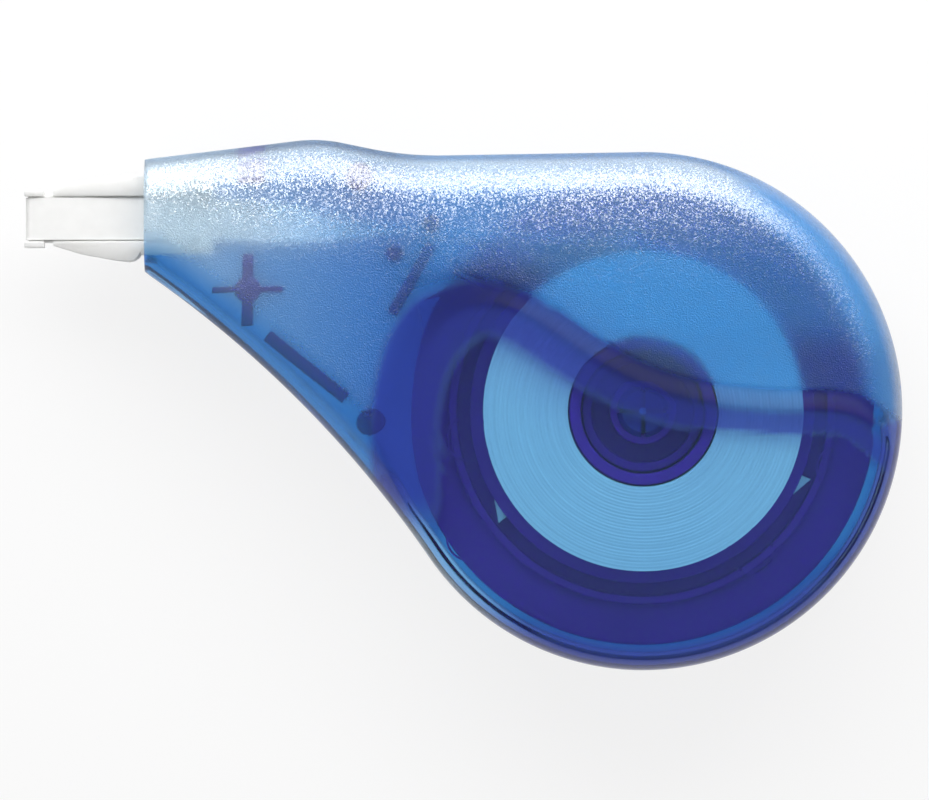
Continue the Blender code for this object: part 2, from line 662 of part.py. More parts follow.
def build_clutch(material):
    """Slip clutch: a ring with curved spring arms that bear on the inside of the take-up drum."""
    inner = HUB_RADIUS + RUNNING_GAP
    outer = inner + CLUTCH_RING
    ring = lathe([(inner, CLUTCH_LOW), (outer, CLUTCH_LOW), (outer, CLUTCH_TOP), (inner, CLUTCH_TOP)], 48)
    clutch = finish_mesh("clutch_ring", ring, material)
    tip_radius = DRUM_INNER - SEAT_GAP - CLUTCH_ARM_WIDTH / 2
    start = outer - CLUTCH_ARM_WIDTH
    steps = 16
    for k in range(CLUTCH_ARMS):
        left, right = [], []
        for i in range(steps + 1):
            t = i / steps
            angle = math.radians(CLUTCH_TIP_ANGLE + 360 * k / CLUTCH_ARMS - CLUTCH_SWEEP * (1 - t))
            radius = start + (tip_radius - start) * math.sin(t * math.pi / 2)
            unit = Vector((math.cos(angle), math.sin(angle)))
            width = CLUTCH_ARM_WIDTH / 2
            left.append(unit * (radius - width))
            right.append(unit * (radius + width))
        join_post(clutch, f"clutch_arm_{k}", right + left[::-1], CLUTCH_LOW, CLUTCH_TOP)
    for i, centre in enumerate(lug_centres()):
        drill(clutch, f"clutch_hole_{i}", centre, LUG_RADIUS + RUNNING_GAP, CLUTCH_LOW - 1 * MM,
              CLUTCH_TOP + 1 * MM)
    return clutch


def build_take_up_reel(material):
    """Separator disc with the hub, the drum below it and the clutch wall above it."""
    step = DRUM_RADIUS - DRUM_STEP
    ledge = TAKE_UP_TRAY + RUNNING_GAP
    wall_top = CLUTCH_TOP + SEAT_GAP
    profile = [(BORE, TAKE_UP_BOTTOM), (HUB_RADIUS, TAKE_UP_BOTTOM), (HUB_RADIUS, SEPARATOR),
               (DRUM_INNER, SEPARATOR), (DRUM_INNER, TAKE_UP_BOTTOM), (step, TAKE_UP_BOTTOM), (step, ledge),
               (DRUM_RADIUS, ledge), (DRUM_RADIUS, SEPARATOR), (TAKE_UP_RADIUS, SEPARATOR),
               (TAKE_UP_RADIUS, SEPARATOR_TOP), (DRUM_RADIUS, SEPARATOR_TOP), (DRUM_RADIUS, wall_top),
               (DRUM_INNER, wall_top), (DRUM_INNER, SEPARATOR_TOP), (BORE, SEPARATOR_TOP)]
    return finish_mesh("take_up_reel", lathe(profile), material)


def ring_part(name, inner, outer, low, high, material):
    """Plain ring about the axle."""
    return finish_mesh(name, lathe([(inner, low), (outer, low), (outer, high), (inner, high)]), material)


def build_tape_roll(material):
    """Wound tape: a full roll whose front face carries the turns as one spiral ripple from core to edge."""
    inner = CORE_OUTER + RUNNING_GAP
    pitch = (ROLL_RADIUS - inner) / WINDING_TURNS
    steps, rows_per_turn = 48, 4
    rows = WINDING_TURNS * rows_per_turn
    spiral = [inner + pitch * i / steps for i in range(WINDING_TURNS * steps + 1)]
    least = min(b - a for a, b in zip(spiral, spiral[steps:]))
    print(f"tape roll: {WINDING_TURNS} turns shown, least gap between turns {least / MM:.2f} mm")
    bm = bmesh.new()
    face = []
    for k in range(rows + 1):
        radius = inner + (ROLL_RADIUS - inner) * k / rows
        ring = []
        for i in range(steps):
            angle = math.tau * i / steps
            wave = (math.cos(math.tau * ((radius - inner) / pitch - i / steps)) - 1) / 2
            fade = 0 if k in (0, rows) else 1
            ring.append(bm.verts.new((radius * math.cos(angle), radius * math.sin(angle),
                                      ROLL_TOP + WINDING_DEPTH * wave * fade)))
        face.append(ring)
    for near, far in zip(face, face[1:]):
        bridge(bm, near, far)
    floor = []
    for ring in (face[-1], face[0]):
        floor.append([bm.verts.new((v.co.x, v.co.y, ROLL_LOW)) for v in ring])
    bridge(bm, face[-1], floor[0])
    bridge(bm, floor[0], floor[1])
    bridge(bm, floor[1], face[0])
    return finish_mesh("tape_roll", bm, material)


def belt(first, first_radius, second, second_radius):
    """Straight run between two rounds; a positive radius lies left of the run, a negative one right."""
    across = second - first
    bearing = math.atan2(across.y, across.x) + math.asin((first_radius - second_radius) / across.length)
    left = Vector((-math.sin(bearing), math.cos(bearing)))
    return first - left * first_radius, second - left * second_radius, left


def build_tape_run(material):
    """Free tape: off the roll, under a guide, flat over the tip and back, round a guide, onto the drum."""
    lay = TAPE_GAP + TAPE_THICKNESS / 2
    up = Vector((0, 0, 1))
    middle = Vector((ROOT_END, NECK_RISE))
    supply_z = (ROLL_LOW + ROLL_TOP) / 2
    return_z = SPENT_LOW + TAPE_WIDTH / 2
    axis = Vector((0, 0))
    guide = GUIDE_RADIUS + lay
    supply_guide, return_guide = guides()["supply_guide"], guides()["return_guide"]
    sections = []

    def add(place, z, wide, outward):
        sections.append((Vector((place[0], place[1], z)), wide.normalized(), outward.normalized()))

    def flat(direction):
        return Vector((direction.x, direction.y, 0))

    def turn(centre, radius, start_left, end_left, z):
        for i in range(5):
            left = start_left.lerp(end_left, i / 4).normalized()
            add(centre - left * radius, z, up, -flat(left))

    start, _, out_left = belt(axis, ROLL_RADIUS + lay, supply_guide, -guide)
    add(start, supply_z, up, -flat(out_left))
    leave, _, in_left = belt(supply_guide, -guide, middle, 0)
    turn(supply_guide, -guide, out_left, in_left, supply_z)
    face = WEB_HALF + lay
    for i in range(1, TAPE_STEPS):
        t = i / TAPE_STEPS
        angle = math.pi / 2 * t * t * (3 - 2 * t)
        left = flat(in_left.lerp(Vector((0, -1)), t))
        add(leave.lerp(middle, t), supply_z + (MIDDLE + face - supply_z) * t,
            up * math.cos(angle) + left * math.sin(angle), up * math.sin(angle) - left * math.cos(angle))

    wide = Vector((0, -1, 0))
    nose = TIP_END + NOSE_RADIUS + 2 * TAPE_GAP
    shoulder = MOUTH - 0.4 * MM
    for x in (ROOT_END, shoulder):
        add((x, NECK_RISE), MIDDLE + face, wide, up)
    slope = math.atan2(WEB_HALF - NOSE_RADIUS, shoulder - nose)
    for i in range(9):
        angle = math.pi / 2 + slope * (1 - i / 4) + math.pi * i / 8
        outward = Vector((math.cos(angle), 0, math.sin(angle)))
        add((nose + (NOSE_RADIUS + lay) * outward.x, NECK_RISE), MIDDLE + (NOSE_RADIUS + lay) * outward.z,
            wide, outward)
    for x in (shoulder, ROOT_END):
        add((x, NECK_RISE), MIDDLE - face, wide, -up)

    _, arrive, back_left = belt(middle, 0, return_guide, -guide)
    _, end, down_left = belt(return_guide, -guide, axis, SPENT_RADIUS + lay)
    for i in range(1, TAPE_STEPS):
        t = i / TAPE_STEPS
        angle = math.pi / 2 * t * t * (3 - 2 * t)
        left = flat(Vector((0, 1)).lerp(back_left, t))
        add(middle.lerp(arrive, t), MIDDLE - face + (return_z - MIDDLE + face) * t,
            up * math.sin(angle) - left * math.cos(angle), -up * math.cos(angle) - left * math.sin(angle))
    turn(return_guide, -guide, back_left, down_left, return_z)
    add(end, return_z, up, -flat(down_left))

    rings = []
    for place, across, outward in sections:
        side, thick = across * TAPE_WIDTH / 2, outward * TAPE_THICKNESS / 2
        rings.append([place - side - thick, place + side - thick, place + side + thick, place - side + thick])
    return finish_mesh("tape_run", loft(rings), material)


def main():
    clear_scene()
    blue = plastic("translucent_blue", (0.05, 0.14, 0.62), 0.25, 0.6)
    deep_blue = plastic("deep_blue", (0.03, 0.04, 0.34), 0.3, 0.3)
    milky = plastic("milky_white", (0.86, 0.85, 0.80), 0.4)
    acetal = plastic("white_acetal", (0.82, 0.86, 0.88), 0.4)
    paper = plastic("white_tape", (0.92, 0.92, 0.90), 0.6)

    build_front_shell(blue)
    build_back_shell(blue)
    build_tip(milky)
    build_supply_reel(deep_blue)
    ring_part("tape_core", CORE_INNER, CORE_OUTER, ROLL_LOW, ROLL_TOP, deep_blue)
    build_tape_roll(paper)
    build_clutch(acetal)
    build_take_up_reel(deep_blue)
    ring_part("take_up_flange", DRUM_RADIUS - DRUM_STEP + RUNNING_GAP, TAKE_UP_RADIUS, TAKE_UP_BOTTOM,
              TAKE_UP_TRAY, deep_blue)
    ring_part("spent_tape", DRUM_RADIUS + RUNNING_GAP, SPENT_RADIUS, SPENT_LOW, SPENT_LOW + TAPE_WIDTH, paper)
    build_tape_run(paper)


main()
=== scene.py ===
# %% [markdown]
# # Correction tape dispenser: the looks
#
# The real object is a palm-sized case of translucent blue plastic. A frosted grip covers its neck and
# shoulder and steps down to a clear window, and through both you see a roll of white tape, two reels and the
# posts of the moulding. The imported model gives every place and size. This lesson remakes the visible pieces
# with finer shapes and gives each its finish.

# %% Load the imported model
import math

import bpy
import numpy as np
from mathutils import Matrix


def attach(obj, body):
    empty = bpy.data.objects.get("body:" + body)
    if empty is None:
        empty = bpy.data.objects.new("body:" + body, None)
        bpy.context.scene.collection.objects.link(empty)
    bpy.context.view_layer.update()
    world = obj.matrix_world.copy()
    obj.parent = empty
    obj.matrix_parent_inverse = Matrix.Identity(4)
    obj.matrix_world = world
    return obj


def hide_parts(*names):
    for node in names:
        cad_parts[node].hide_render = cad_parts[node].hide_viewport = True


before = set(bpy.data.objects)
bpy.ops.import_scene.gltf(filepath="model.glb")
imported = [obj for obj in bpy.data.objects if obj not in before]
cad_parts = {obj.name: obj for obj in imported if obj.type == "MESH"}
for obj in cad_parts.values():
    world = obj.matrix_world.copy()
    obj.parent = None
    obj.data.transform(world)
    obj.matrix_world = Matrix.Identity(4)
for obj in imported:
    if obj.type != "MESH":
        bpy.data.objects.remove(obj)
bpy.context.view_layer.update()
MM = 0.001

# %% [markdown]
# ## Camera
#
# The picture looks straight down on the case, so the camera hangs over it with a long lens, which keeps the
# reels round and the walls upright. Ten pixels are one millimetre at the parting line, where the outline is.

# %% Hang the camera
PICTURE = (929, 800)
PIXELS_PER_MM = 10.0
PARTING = 8.7
LENS = 300.0
SENSOR = 36.0
LOOK_AT = (-17.75, 1.1)

bpy.ops.object.select_all(action="DESELECT")
distance = PICTURE[0] / PIXELS_PER_MM * LENS / SENSOR
above = (LOOK_AT[0] * MM, LOOK_AT[1] * MM, (PARTING + distance) * MM)
bpy.ops.object.camera_add(location=above, rotation=(0, 0, 0))
camera = bpy.context.object
camera.data.lens = LENS
camera.data.sensor_width = SENSOR
camera.data.clip_start = 0.01
camera.data.clip_end = 10
bpy.context.scene.camera = camera
print("camera", [round(v, 4) for v in camera.location])

# %% [markdown]
# ## Floor, world and lamps
#
# The case lies on a white table. The camera, reflections and the view through the plastic all see the table
# as plain white, and what the plastic shades still darkens it a little. Two long strips behind the top edge,
# one high and one low, draw the pale band along the shoulder, and a painted highlight in the case's colour
# adds to it. A broad bank softens it, a weak lamp lifts the round end, and the world fills the rest.

# %% A small kit for node trees
def tree_of(owner):
    """Empty node tree of a material or world."""
    owner.use_nodes = True
    owner.node_tree.nodes.clear()
    return owner.node_tree


def add(tree, kind, **values):
    """Add a node and set its properties, or its sockets where the name is one."""
    node = tree.nodes.new(kind)
    for key, value in values.items():
        if key in node.inputs:
            node.inputs[key].default_value = value
        else:
            setattr(node, key, value)
    return node


def set_range(node, start, end, low, high):
    """Let a Map Range node spread start to end over low to high."""
    for name, number in (("From Min", start), ("From Max", end), ("To Min", low), ("To Max", high)):
        node.inputs[name].default_value = number


def seen_directly(tree):
    """Factor that is 1 for what the camera sees, straight, mirrored or through clear plastic."""
    path = add(tree, "ShaderNodeLightPath")
    either = add(tree, "ShaderNodeMath", operation="MAXIMUM")
    any_of = add(tree, "ShaderNodeMath", operation="MAXIMUM")
    tree.links.new(path.outputs["Is Camera Ray"], either.inputs[0])
    tree.links.new(path.outputs["Is Glossy Ray"], either.inputs[1])
    tree.links.new(either.outputs[0], any_of.inputs[0])
    tree.links.new(path.outputs["Is Transmission Ray"], any_of.inputs[1])
    return any_of.outputs[0]


print("node kit ready")

# %% White table and white surroundings
TABLE_SIZE = 6.0
TABLE_DROP = 0.03
TABLE_GRAIN = 40.0
TABLE_SHADES = (0.86, 0.90)
SHADOW_SHARE = 0.16
WORLD_LIGHT = 0.25
CEILING_RISE = (0.15, 0.60)
CEILING_SHADE = 0.25

table_paint = bpy.data.materials.new("table_white")
tree = tree_of(table_paint)
grain = add(tree, "ShaderNodeTexNoise", Scale=TABLE_GRAIN, Detail=3.0)
shade = add(tree, "ShaderNodeMapRange")
set_range(shade, 0.0, 1.0, *TABLE_SHADES)
matt = add(tree, "ShaderNodeBsdfDiffuse")
glow = add(tree, "ShaderNodeEmission", Color=(1, 1, 1, 1), Strength=1.0)
share = add(tree, "ShaderNodeMath", operation="MULTIPLY")
share.inputs[1].default_value = 1 - SHADOW_SHARE
mix = add(tree, "ShaderNodeMixShader")
out = add(tree, "ShaderNodeOutputMaterial")
tree.links.new(grain.outputs["Fac"], shade.inputs["Value"])
tree.links.new(shade.outputs["Result"], matt.inputs["Color"])
tree.links.new(seen_directly(tree), share.inputs[0])
tree.links.new(share.outputs[0], mix.inputs["Fac"])
tree.links.new(matt.outputs[0], mix.inputs[1])
tree.links.new(glow.outputs[0], mix.inputs[2])
tree.links.new(mix.outputs[0], out.inputs["Surface"])

bpy.ops.object.select_all(action="DESELECT")
bpy.ops.mesh.primitive_plane_add(size=TABLE_SIZE, location=(0, 0, -TABLE_DROP * MM))
table = bpy.context.object
table.name = "table"
table.data.materials.append(table_paint)

world = bpy.data.worlds.new("white_room")
bpy.context.scene.world = world
tree = tree_of(world)
fill = add(tree, "ShaderNodeBackground", Color=(1, 1, 1, 1), Strength=WORLD_LIGHT)
white = add(tree, "ShaderNodeBackground", Color=(1, 1, 1, 1), Strength=1.0)
bearing = add(tree, "ShaderNodeTexCoord")
parts = add(tree, "ShaderNodeSeparateXYZ")
ceiling = add(tree, "ShaderNodeMapRange")
set_range(ceiling, *CEILING_RISE, 1.0, CEILING_SHADE)
tree.links.new(bearing.outputs["Generated"], parts.inputs["Vector"])
tree.links.new(parts.outputs["Z"], ceiling.inputs["Value"])
mirrored = add(tree, "ShaderNodeLightPath")
shade = add(tree, "ShaderNodeMix", data_type="FLOAT")
shade.inputs[2].default_value = 1.0
only_mirrored = add(tree, "ShaderNodeMath", operation="SUBTRACT", use_clamp=True)
tree.links.new(mirrored.outputs["Is Glossy Ray"], only_mirrored.inputs[0])
tree.links.new(mirrored.outputs["Is Transmission Ray"], only_mirrored.inputs[1])
tree.links.new(only_mirrored.outputs[0], shade.inputs[0])
tree.links.new(ceiling.outputs["Result"], shade.inputs[3])
tree.links.new(shade.outputs[0], white.inputs["Strength"])
mix = add(tree, "ShaderNodeMixShader")
out = add(tree, "ShaderNodeOutputWorld")
tree.links.new(seen_directly(tree), mix.inputs["Fac"])
tree.links.new(fill.outputs[0], mix.inputs[1])
tree.links.new(white.outputs[0], mix.inputs[2])
tree.links.new(mix.outputs[0], out.inputs["Surface"])
bpy.context.scene.view_settings.view_transform = "Standard"
print("table and world are white")

# %% Strips and a bank behind the top edge, and a weak lamp beside the round end
LAMPS = (
    ("strip_lamp", (-15, 187, 179), (-15, 15, 12), (420, 90), 0.58),
    ("low_strip_lamp", (-15, 240, 94), (-15, 15, 12), (420, 60), 0.20),
    ("bank_lamp", (-15, 220, 200), (-10, 10, 8), (420, 250), 0.4),
    ("side_lamp", (190, 115, 175), (14, 8, 12), (200, 80), 0.06),
)


def soft_lamp(name, place, aim, size, watts):
    """Rectangular soft lamp that faces a point and isn't seen itself; places and sizes in millimetres."""
    bpy.ops.object.select_all(action="DESELECT")
    bpy.ops.object.light_add(type="AREA", location=[v * MM for v in place])
    lamp = bpy.context.object
    lamp.name = name
    lamp.data.shape = "RECTANGLE"
    lamp.data.size = size[0] * MM
    lamp.data.size_y = size[1] * MM
    lamp.data.energy = watts
    towards = np.array(aim, float) - np.array(place, float)
    flat = math.hypot(towards[0], towards[1])
    lamp.rotation_euler = (math.atan2(flat, -towards[2]), 0, math.atan2(-towards[0], towards[1]))
    lamp.visible_camera = False
    return lamp


lamps = [soft_lamp(*lamp) for lamp in LAMPS]
print("lamps", [round(lamp.data.energy, 2) for lamp in lamps])

# %% [markdown]
# ## Outline of the case
#
# In plan the case is a round end, a neck whose underside is one long hollow arc, and a top edge with a low
# crest for the finger. The same few sizes as in the model give it, drawn here in small steps so that no facet
# shows. Its two ends lie at the mouth, where the tip comes out.

# %% Draw the outline in small steps
BULB = 25.8
MOUTH = -49.6
TIP_LINE = 19.2
MOUTH_TOP = TIP_LINE + 5.9
MOUTH_LOW = TIP_LINE - 5.4
UNDERSIDE = 111.0
CREST = np.array((-32.2, 27.2))
CREST_RADIUS = 14.0
VALLEY = np.array((-23.6, 25.4))
VALLEY_RADIUS = 34.0
UNDERSIDE_STEP = 0.1
BULB_STEP = 0.5


def arc(centre, radius, start, end, step):
    """Points along an arc, angles in degrees."""
    count = max(2, math.ceil(abs(end - start) / step))
    turn = np.radians(np.linspace(start, end, count + 1))
    return np.stack((centre[0] + radius * np.cos(turn), centre[1] + radius * np.sin(turn)), 1)


def smooth(value, start, end):
    """Soft ramp from 0 to 1."""
    t = np.clip((value - start) / (end - start), 0, 1)
    return t * t * (3 - 2 * t)


def unit(vector):
    """The same direction with length 1."""
    vector = np.asarray(vector, float)
    return vector / np.linalg.norm(vector, axis=-1, keepdims=True)


def rounded(before, corner, after, radius, count=24):
    """Arc that rounds a corner between two straight runs."""
    back, ahead = unit(before - corner), unit(after - corner)
    half = math.acos(float(back @ ahead)) / 2
    centre = corner + unit(back + ahead) * radius / math.sin(half)
    first = corner + back * radius / math.tan(half) - centre
    last = corner + ahead * radius / math.tan(half) - centre
    start = math.atan2(first[1], first[0])
    sweep = (math.atan2(last[1], last[0]) - start + math.pi) % math.tau - math.pi
    turn = start + sweep * np.linspace(0, 1, count + 1)
    return centre + radius * np.stack((np.cos(turn), np.sin(turn)), 1)


def hollow_centre():
    """Centre of the underside's arc, from the mouth's lower corner to a tangent with the round end."""
    corner = np.array((MOUTH, MOUTH_LOW))
    reach = BULB + UNDERSIDE
    length = np.linalg.norm(corner)
    along = (reach ** 2 - UNDERSIDE ** 2 + length ** 2) / (2 * length)
    ray = corner / length
    return ray * along + np.array((-ray[1], ray[0])) * math.sqrt(reach ** 2 - along ** 2)


hollow = hollow_centre()
leave = math.degrees(math.atan2(MOUTH_LOW - hollow[1], MOUTH - hollow[0]))
touch = math.degrees(math.atan2(-hollow[1], -hollow[0]))
crown = np.array((0.0, BULB))
mouth_top = np.array((MOUTH, MOUTH_TOP))
underside = arc(hollow, UNDERSIDE, leave, touch, UNDERSIDE_STEP)
outline = np.concatenate((
    underside,
    arc((0, 0), BULB, touch + 180, 450, BULB_STEP)[1:],
    rounded(crown, VALLEY, CREST, VALLEY_RADIUS),
    rounded(VALLEY, CREST, mouth_top, CREST_RADIUS),
    mouth_top[None],
))


def along_line(points):
    """Distance run along a line, at each of its points."""
    steps = np.linalg.norm(np.diff(points, axis=0), axis=1)
    return np.concatenate(((0,), np.cumsum(steps)))


def at_run(points, runs):
    """Points of a line at given distances along it."""
    total = along_line(points)
    return np.stack([np.interp(runs, total, points[:, k]) for k in range(2)], 1)


run = along_line(outline)
sparse_outline = np.concatenate((outline[:-1:3], outline[-1:]))
print("outline", len(outline), "points,", round(run[-1], 1), "mm round")

# %% [markdown]
# ## Step line
#
# The grip ends in a step along a wavy line: crisp over the reel, soft at both ends. The window lies
# 1.5 mm below the grip. Distances to this line and to the outline decide the height of every point.

# %% Draw the step line and the distances
WINDOW_RADIUS = 24.7
STEP_POINTS = WINDOW_RADIUS * np.array((
    (1.12, -0.27), (0.95, -0.10), (0.80, -0.01), (0.50, 0.0), (0.22, 0.035), (0.0, 0.10), (-0.22, 0.212),
    (-0.47, 0.375), (-0.62, 0.42), (-0.76, 0.38), (-0.88, 0.24), (-0.94, 0.0), (-0.94, -0.25),
    (-0.94, -0.50), (-0.97, -0.78)))
STEP_RUN = 2.0
SOFT_RUN = 3.4
CRISP = (1.6, 7.4)
AT_ONCE = 1500


def through(points, pieces):
    """Smooth curve through points, and the place of each of its points counted in given points."""
    ends = np.concatenate((2 * points[:1] - points[1:2], points, 2 * points[-1:] - points[-2:-1]))
    line, place = [], []
    for i in range(1, len(ends) - 2):
        a, b, c, d = ends[i - 1:i + 3]
        for t in np.linspace(0, 1, pieces, endpoint=False):
            line.append(0.5 * (2 * b + (c - a) * t + (2 * a - 5 * b + 4 * c - d) * t ** 2
                               + (3 * b - a - 3 * c + d) * t ** 3))
            place.append(i - 1 + t)
    return np.array(line + [points[-1]]), np.array(place + [len(points) - 1.0])


step_line, step_place = through(STEP_POINTS, 8)


def distance_to(points, line):
    """Distance from each point to a line, the nearest piece, and the side (positive on the right)."""
    a, b = line[:-1], line[1:]
    ab = b - a
    size = (ab ** 2).sum(1)
    best = np.full(len(points), 1e9)
    piece = np.zeros(len(points), int)
    side = np.zeros(len(points))
    for start in range(0, len(points), AT_ONCE):
        batch = slice(start, start + AT_ONCE)
        p = points[batch, None, :]
        t = np.clip(((p - a) * ab).sum(2) / size, 0, 1)
        gap = p - (a + t[..., None] * ab)
        far = (gap ** 2).sum(2)
        near = far.argmin(1)
        rows = np.arange(len(near))
        best[batch] = np.sqrt(far[rows, near])
        piece[batch] = near
        cross = ab[near, 0] * gap[rows, near, 1] - ab[near, 1] * gap[rows, near, 0]
        side[batch] = -np.sign(cross)
    return best, piece, side


print("step line", len(step_line), "points,", round(along_line(step_line)[-1], 1), "mm long")

# %% [markdown]
# ## Height of the case over its plan
#
# Each half rises straight from the parting line, rounds over with a fillet and goes flat. The neck thins
# towards the mouth, and the grip falls away a little towards the top edge. The front half takes the lower of
# that and of the window with its sloping step, blended a little so that edges are rounded as in a mould.

# %% Heights of the front and the back
WALL = 1.2
FRONT_FILLET = 4.5
BACK_FILLET = 3.0
TOP = 17.4
WINDOW = 15.9
TAPER_START = -20.0
TAPER_LENGTH = 29.6
MOUTH_SQUEEZE = 0.7
LIP = 0.5
CROWN = 1.1
CROWN_FOOT = 9.0
CROWN_MOST = 1.1
CROWN_FROM_MOUTH = 12.0
CROWN_FROM_STEP = 6.0
FOOT_ROUND = 0.5
HEAD_ROUND = 0.3


def squeeze(x):
    """Share of the full thickness at a place along the neck."""
    return 1 - (1 - MOUTH_SQUEEZE) * smooth(TAPER_START - x, 0, TAPER_LENGTH)


def blend_low(a, b, width):
    """The lower of two heights, rounded where they meet."""
    t = np.clip(0.5 + 0.5 * (b - a) / width, 0, 1)
    return b + (a - b) * t - width * t * (1 - t)


def rounded_over(inset, fillet, depth):
    """Height above the parting of a rounded-over half, for a skin this deep inside the case."""
    reach, soft = PARTING - depth, fillet - depth
    lack = np.clip(soft - (inset - depth), 0, soft)
    return (reach - soft + np.sqrt(soft ** 2 - lack ** 2)) / reach


def lip_drop(x):
    """How far the edge is rounded off at the mouth."""
    lack = np.clip(LIP - (x - MOUTH), 0, LIP)
    return LIP - np.sqrt(LIP ** 2 - lack ** 2)


def crown_drop(points, into):
    """How far the grip falls away towards the top edge, which makes it a gentle roof."""
    rise = np.clip((points[:, 1] - CROWN_FOOT) / (BULB - CROWN_FOOT), 0, CROWN_MOST)
    from_mouth = smooth(points[:, 0] - MOUTH, 0, CROWN_FROM_MOUTH)
    return CROWN * rise ** 2 * from_mouth * smooth(into, 0, CROWN_FROM_STEP)


def step_state(points, depth):
    """Distance over the step line into the grip, and the length of the slope there."""
    far, piece, side = distance_to(points, step_line)
    place = step_place[piece]
    away = np.maximum(np.maximum(CRISP[0] - place, place - CRISP[1]), 0)
    slope = STEP_RUN + (SOFT_RUN - STEP_RUN) * np.clip(away / 2, 0, 1)
    shift = depth * np.tan(np.arctan2(TOP - WINDOW, slope) / 2)
    return far * side - shift, slope


def front_height(points, inset, depth):
    """Level of the front skin over points of the plan."""
    half = PARTING * squeeze(points[:, 0]) - depth
    into, slope = step_state(points, depth)
    shoulder = rounded_over(inset, FRONT_FILLET, depth)
    full = PARTING + (half - crown_drop(points, into)) * shoulder
    rise = -blend_low(-into, np.zeros_like(into), FOOT_ROUND)
    sunk = WINDOW - depth + (TOP - WINDOW) * np.maximum(rise, 0) / slope
    level = blend_low(full, sunk, HEAD_ROUND)
    return level - (lip_drop(points[:, 0]) if depth == 0 else 0)


def back_height(points, inset, depth):
    """Level of the back skin over points of the plan."""
    half = PARTING * squeeze(points[:, 0]) - depth
    level = PARTING - half * rounded_over(inset, BACK_FILLET, depth)
    return level + (lip_drop(points[:, 0]) if depth == 0 else 0)


print("thickness at the mouth", round(2 * PARTING * float(squeeze(MOUTH)), 2), "mm")

# %% [markdown]
# ## A sheet that wraps the case
#
# A skin is made as you would lay a cloth: a flat grid is added, its columns run from the middle of the window
# over the step to the rim and down the side, and its rows follow the rim. Rows crowd together at the step and
# on the rounded edge, where the light turns fast. An outer and an inner skin are joined and bridged at their
# open edges, which gives a wall of even thickness.

# %% Columns of the sheet
POLE = np.array((0.0, -10.0))
COLUMN_GAP = 0.42
NEAR_MOUTH = np.array((0.0, 0.04, 0.1, 0.18, 0.28, 0.4, 0.5, 0.7))
PROBE = 0.2
LEAN_SPAN = 10.0
BAND = 5.0
BAND_SPAN = 4.0

even = np.linspace(1.0, run[-1] - 1.0, int(run[-1] / COLUMN_GAP))
column_run = np.concatenate((NEAR_MOUTH, even, run[-1] - NEAR_MOUTH[::-1]))
rim = at_run(outline, column_run)
ahead = at_run(outline, np.clip(column_run + PROBE, 0, run[-1]))
ahead -= at_run(outline, np.clip(column_run - PROBE, 0, run[-1]))
inward = unit(np.stack((-ahead[:, 1], ahead[:, 0]), 1))
upright = 1 - smooth(rim[:, 0] - MOUTH, 0, LEAN_SPAN)
straight = np.stack((np.zeros(len(rim)), np.where(np.arange(len(rim)) < len(rim) / 2, 1.0, -1.0)), 1)
leaning = unit(inward * (1 - upright[:, None]) + straight * upright[:, None])
lean = (leaning * inward).sum(1)
mouth_middle = (MOUTH_TOP + MOUTH_LOW) / 2
half_mouth = (MOUTH_TOP - MOUTH_LOW) / 2
band = BAND + (half_mouth - BAND) * np.clip(1 - (rim[:, 0] - MOUTH) / BAND_SPAN, 0, 1)
inner_edge = rim + leaning * band[:, None]
inner_edge[0] = inner_edge[-1] = (MOUTH, mouth_middle)
print("columns", len(rim), "round", round(run[-1], 1), "mm of rim")

# %% Where the columns cross the step
# Each pair is a place on the rim and the place on the step line that its column passes.
LOW_PAIRS = (
    ((-18.5, -18.0), (-23.6, -17.1)), ((-26.2, -7.7), (-23.2, -6.2)), ((-30.0, -3.1), (-22.8, 2.0)),
    ((-40.0, 6.4), (-19.5, 8.8)), ((MOUTH, MOUTH_LOW), (-16.2, 10.35)),
)
HIGH_PAIRS = (
    ((MOUTH, MOUTH_TOP), (-16.2, 10.35)), ((-32.0, 27.0), (-13.5, 10.1)), ((-20.0, 25.5), (-9.0, 7.5)),
    ((0.0, BULB), (-1.0, 2.9)), ((12.9, 22.3), (6.0, 0.8)), ((22.3, 12.9), (14.0, 0.0)),
    ((BULB, 0.0), (19.9, -0.35)), ((25.0, -6.2), (25.0, -3.9)),
)
NEAREST_TO_RIM = 0.9
EASE_RUN = 6.0


def nearest_run(points, place):
    """Distance along a line of its point nearest to a place."""
    return along_line(points)[((points - np.array(place)) ** 2).sum(1).argmin()]


def runs_of(pairs, points, start):
    """Distances along the rim, on this stretch of the outline, and along the step line, in order."""
    return sorted((start + nearest_run(points, a), nearest_run(step_line, b)) for a, b in pairs)


half_way = len(outline) // 2
low_pairs = runs_of(LOW_PAIRS, outline[:half_way], 0)
high_pairs = runs_of(HIGH_PAIRS, outline[half_way:], run[half_way])
low_limit, high_limit = low_pairs[-1][0], high_pairs[0][0]


def crossing_points():
    """Where each column crosses the step line, or a place on its way to the rim where it doesn't."""
    places = np.zeros_like(rim)
    for i, at in enumerate(column_run):
        toward = inner_edge[i] - POLE
        places[i] = POLE + toward * NEAREST_TO_RIM
        if low_limit < at < high_limit:
            continue
        pairs = low_pairs if at <= low_limit else high_pairs
        b = np.interp(at, [p[0] for p in pairs], [p[1] for p in pairs])
        place = at_run(step_line, [b])[0]
        share = ((place - POLE) @ toward) / (toward @ toward)
        place = POLE + (place - POLE) * min(NEAREST_TO_RIM / share, 1)
        ease = min(max(low_limit - at, at - high_limit) / EASE_RUN, 1)
        places[i] += (place - places[i]) * ease
    return places


crossing = crossing_points()
print("the step is crossed up to", round(low_limit, 1), "and from", round(high_limit, 1), "mm along the rim")

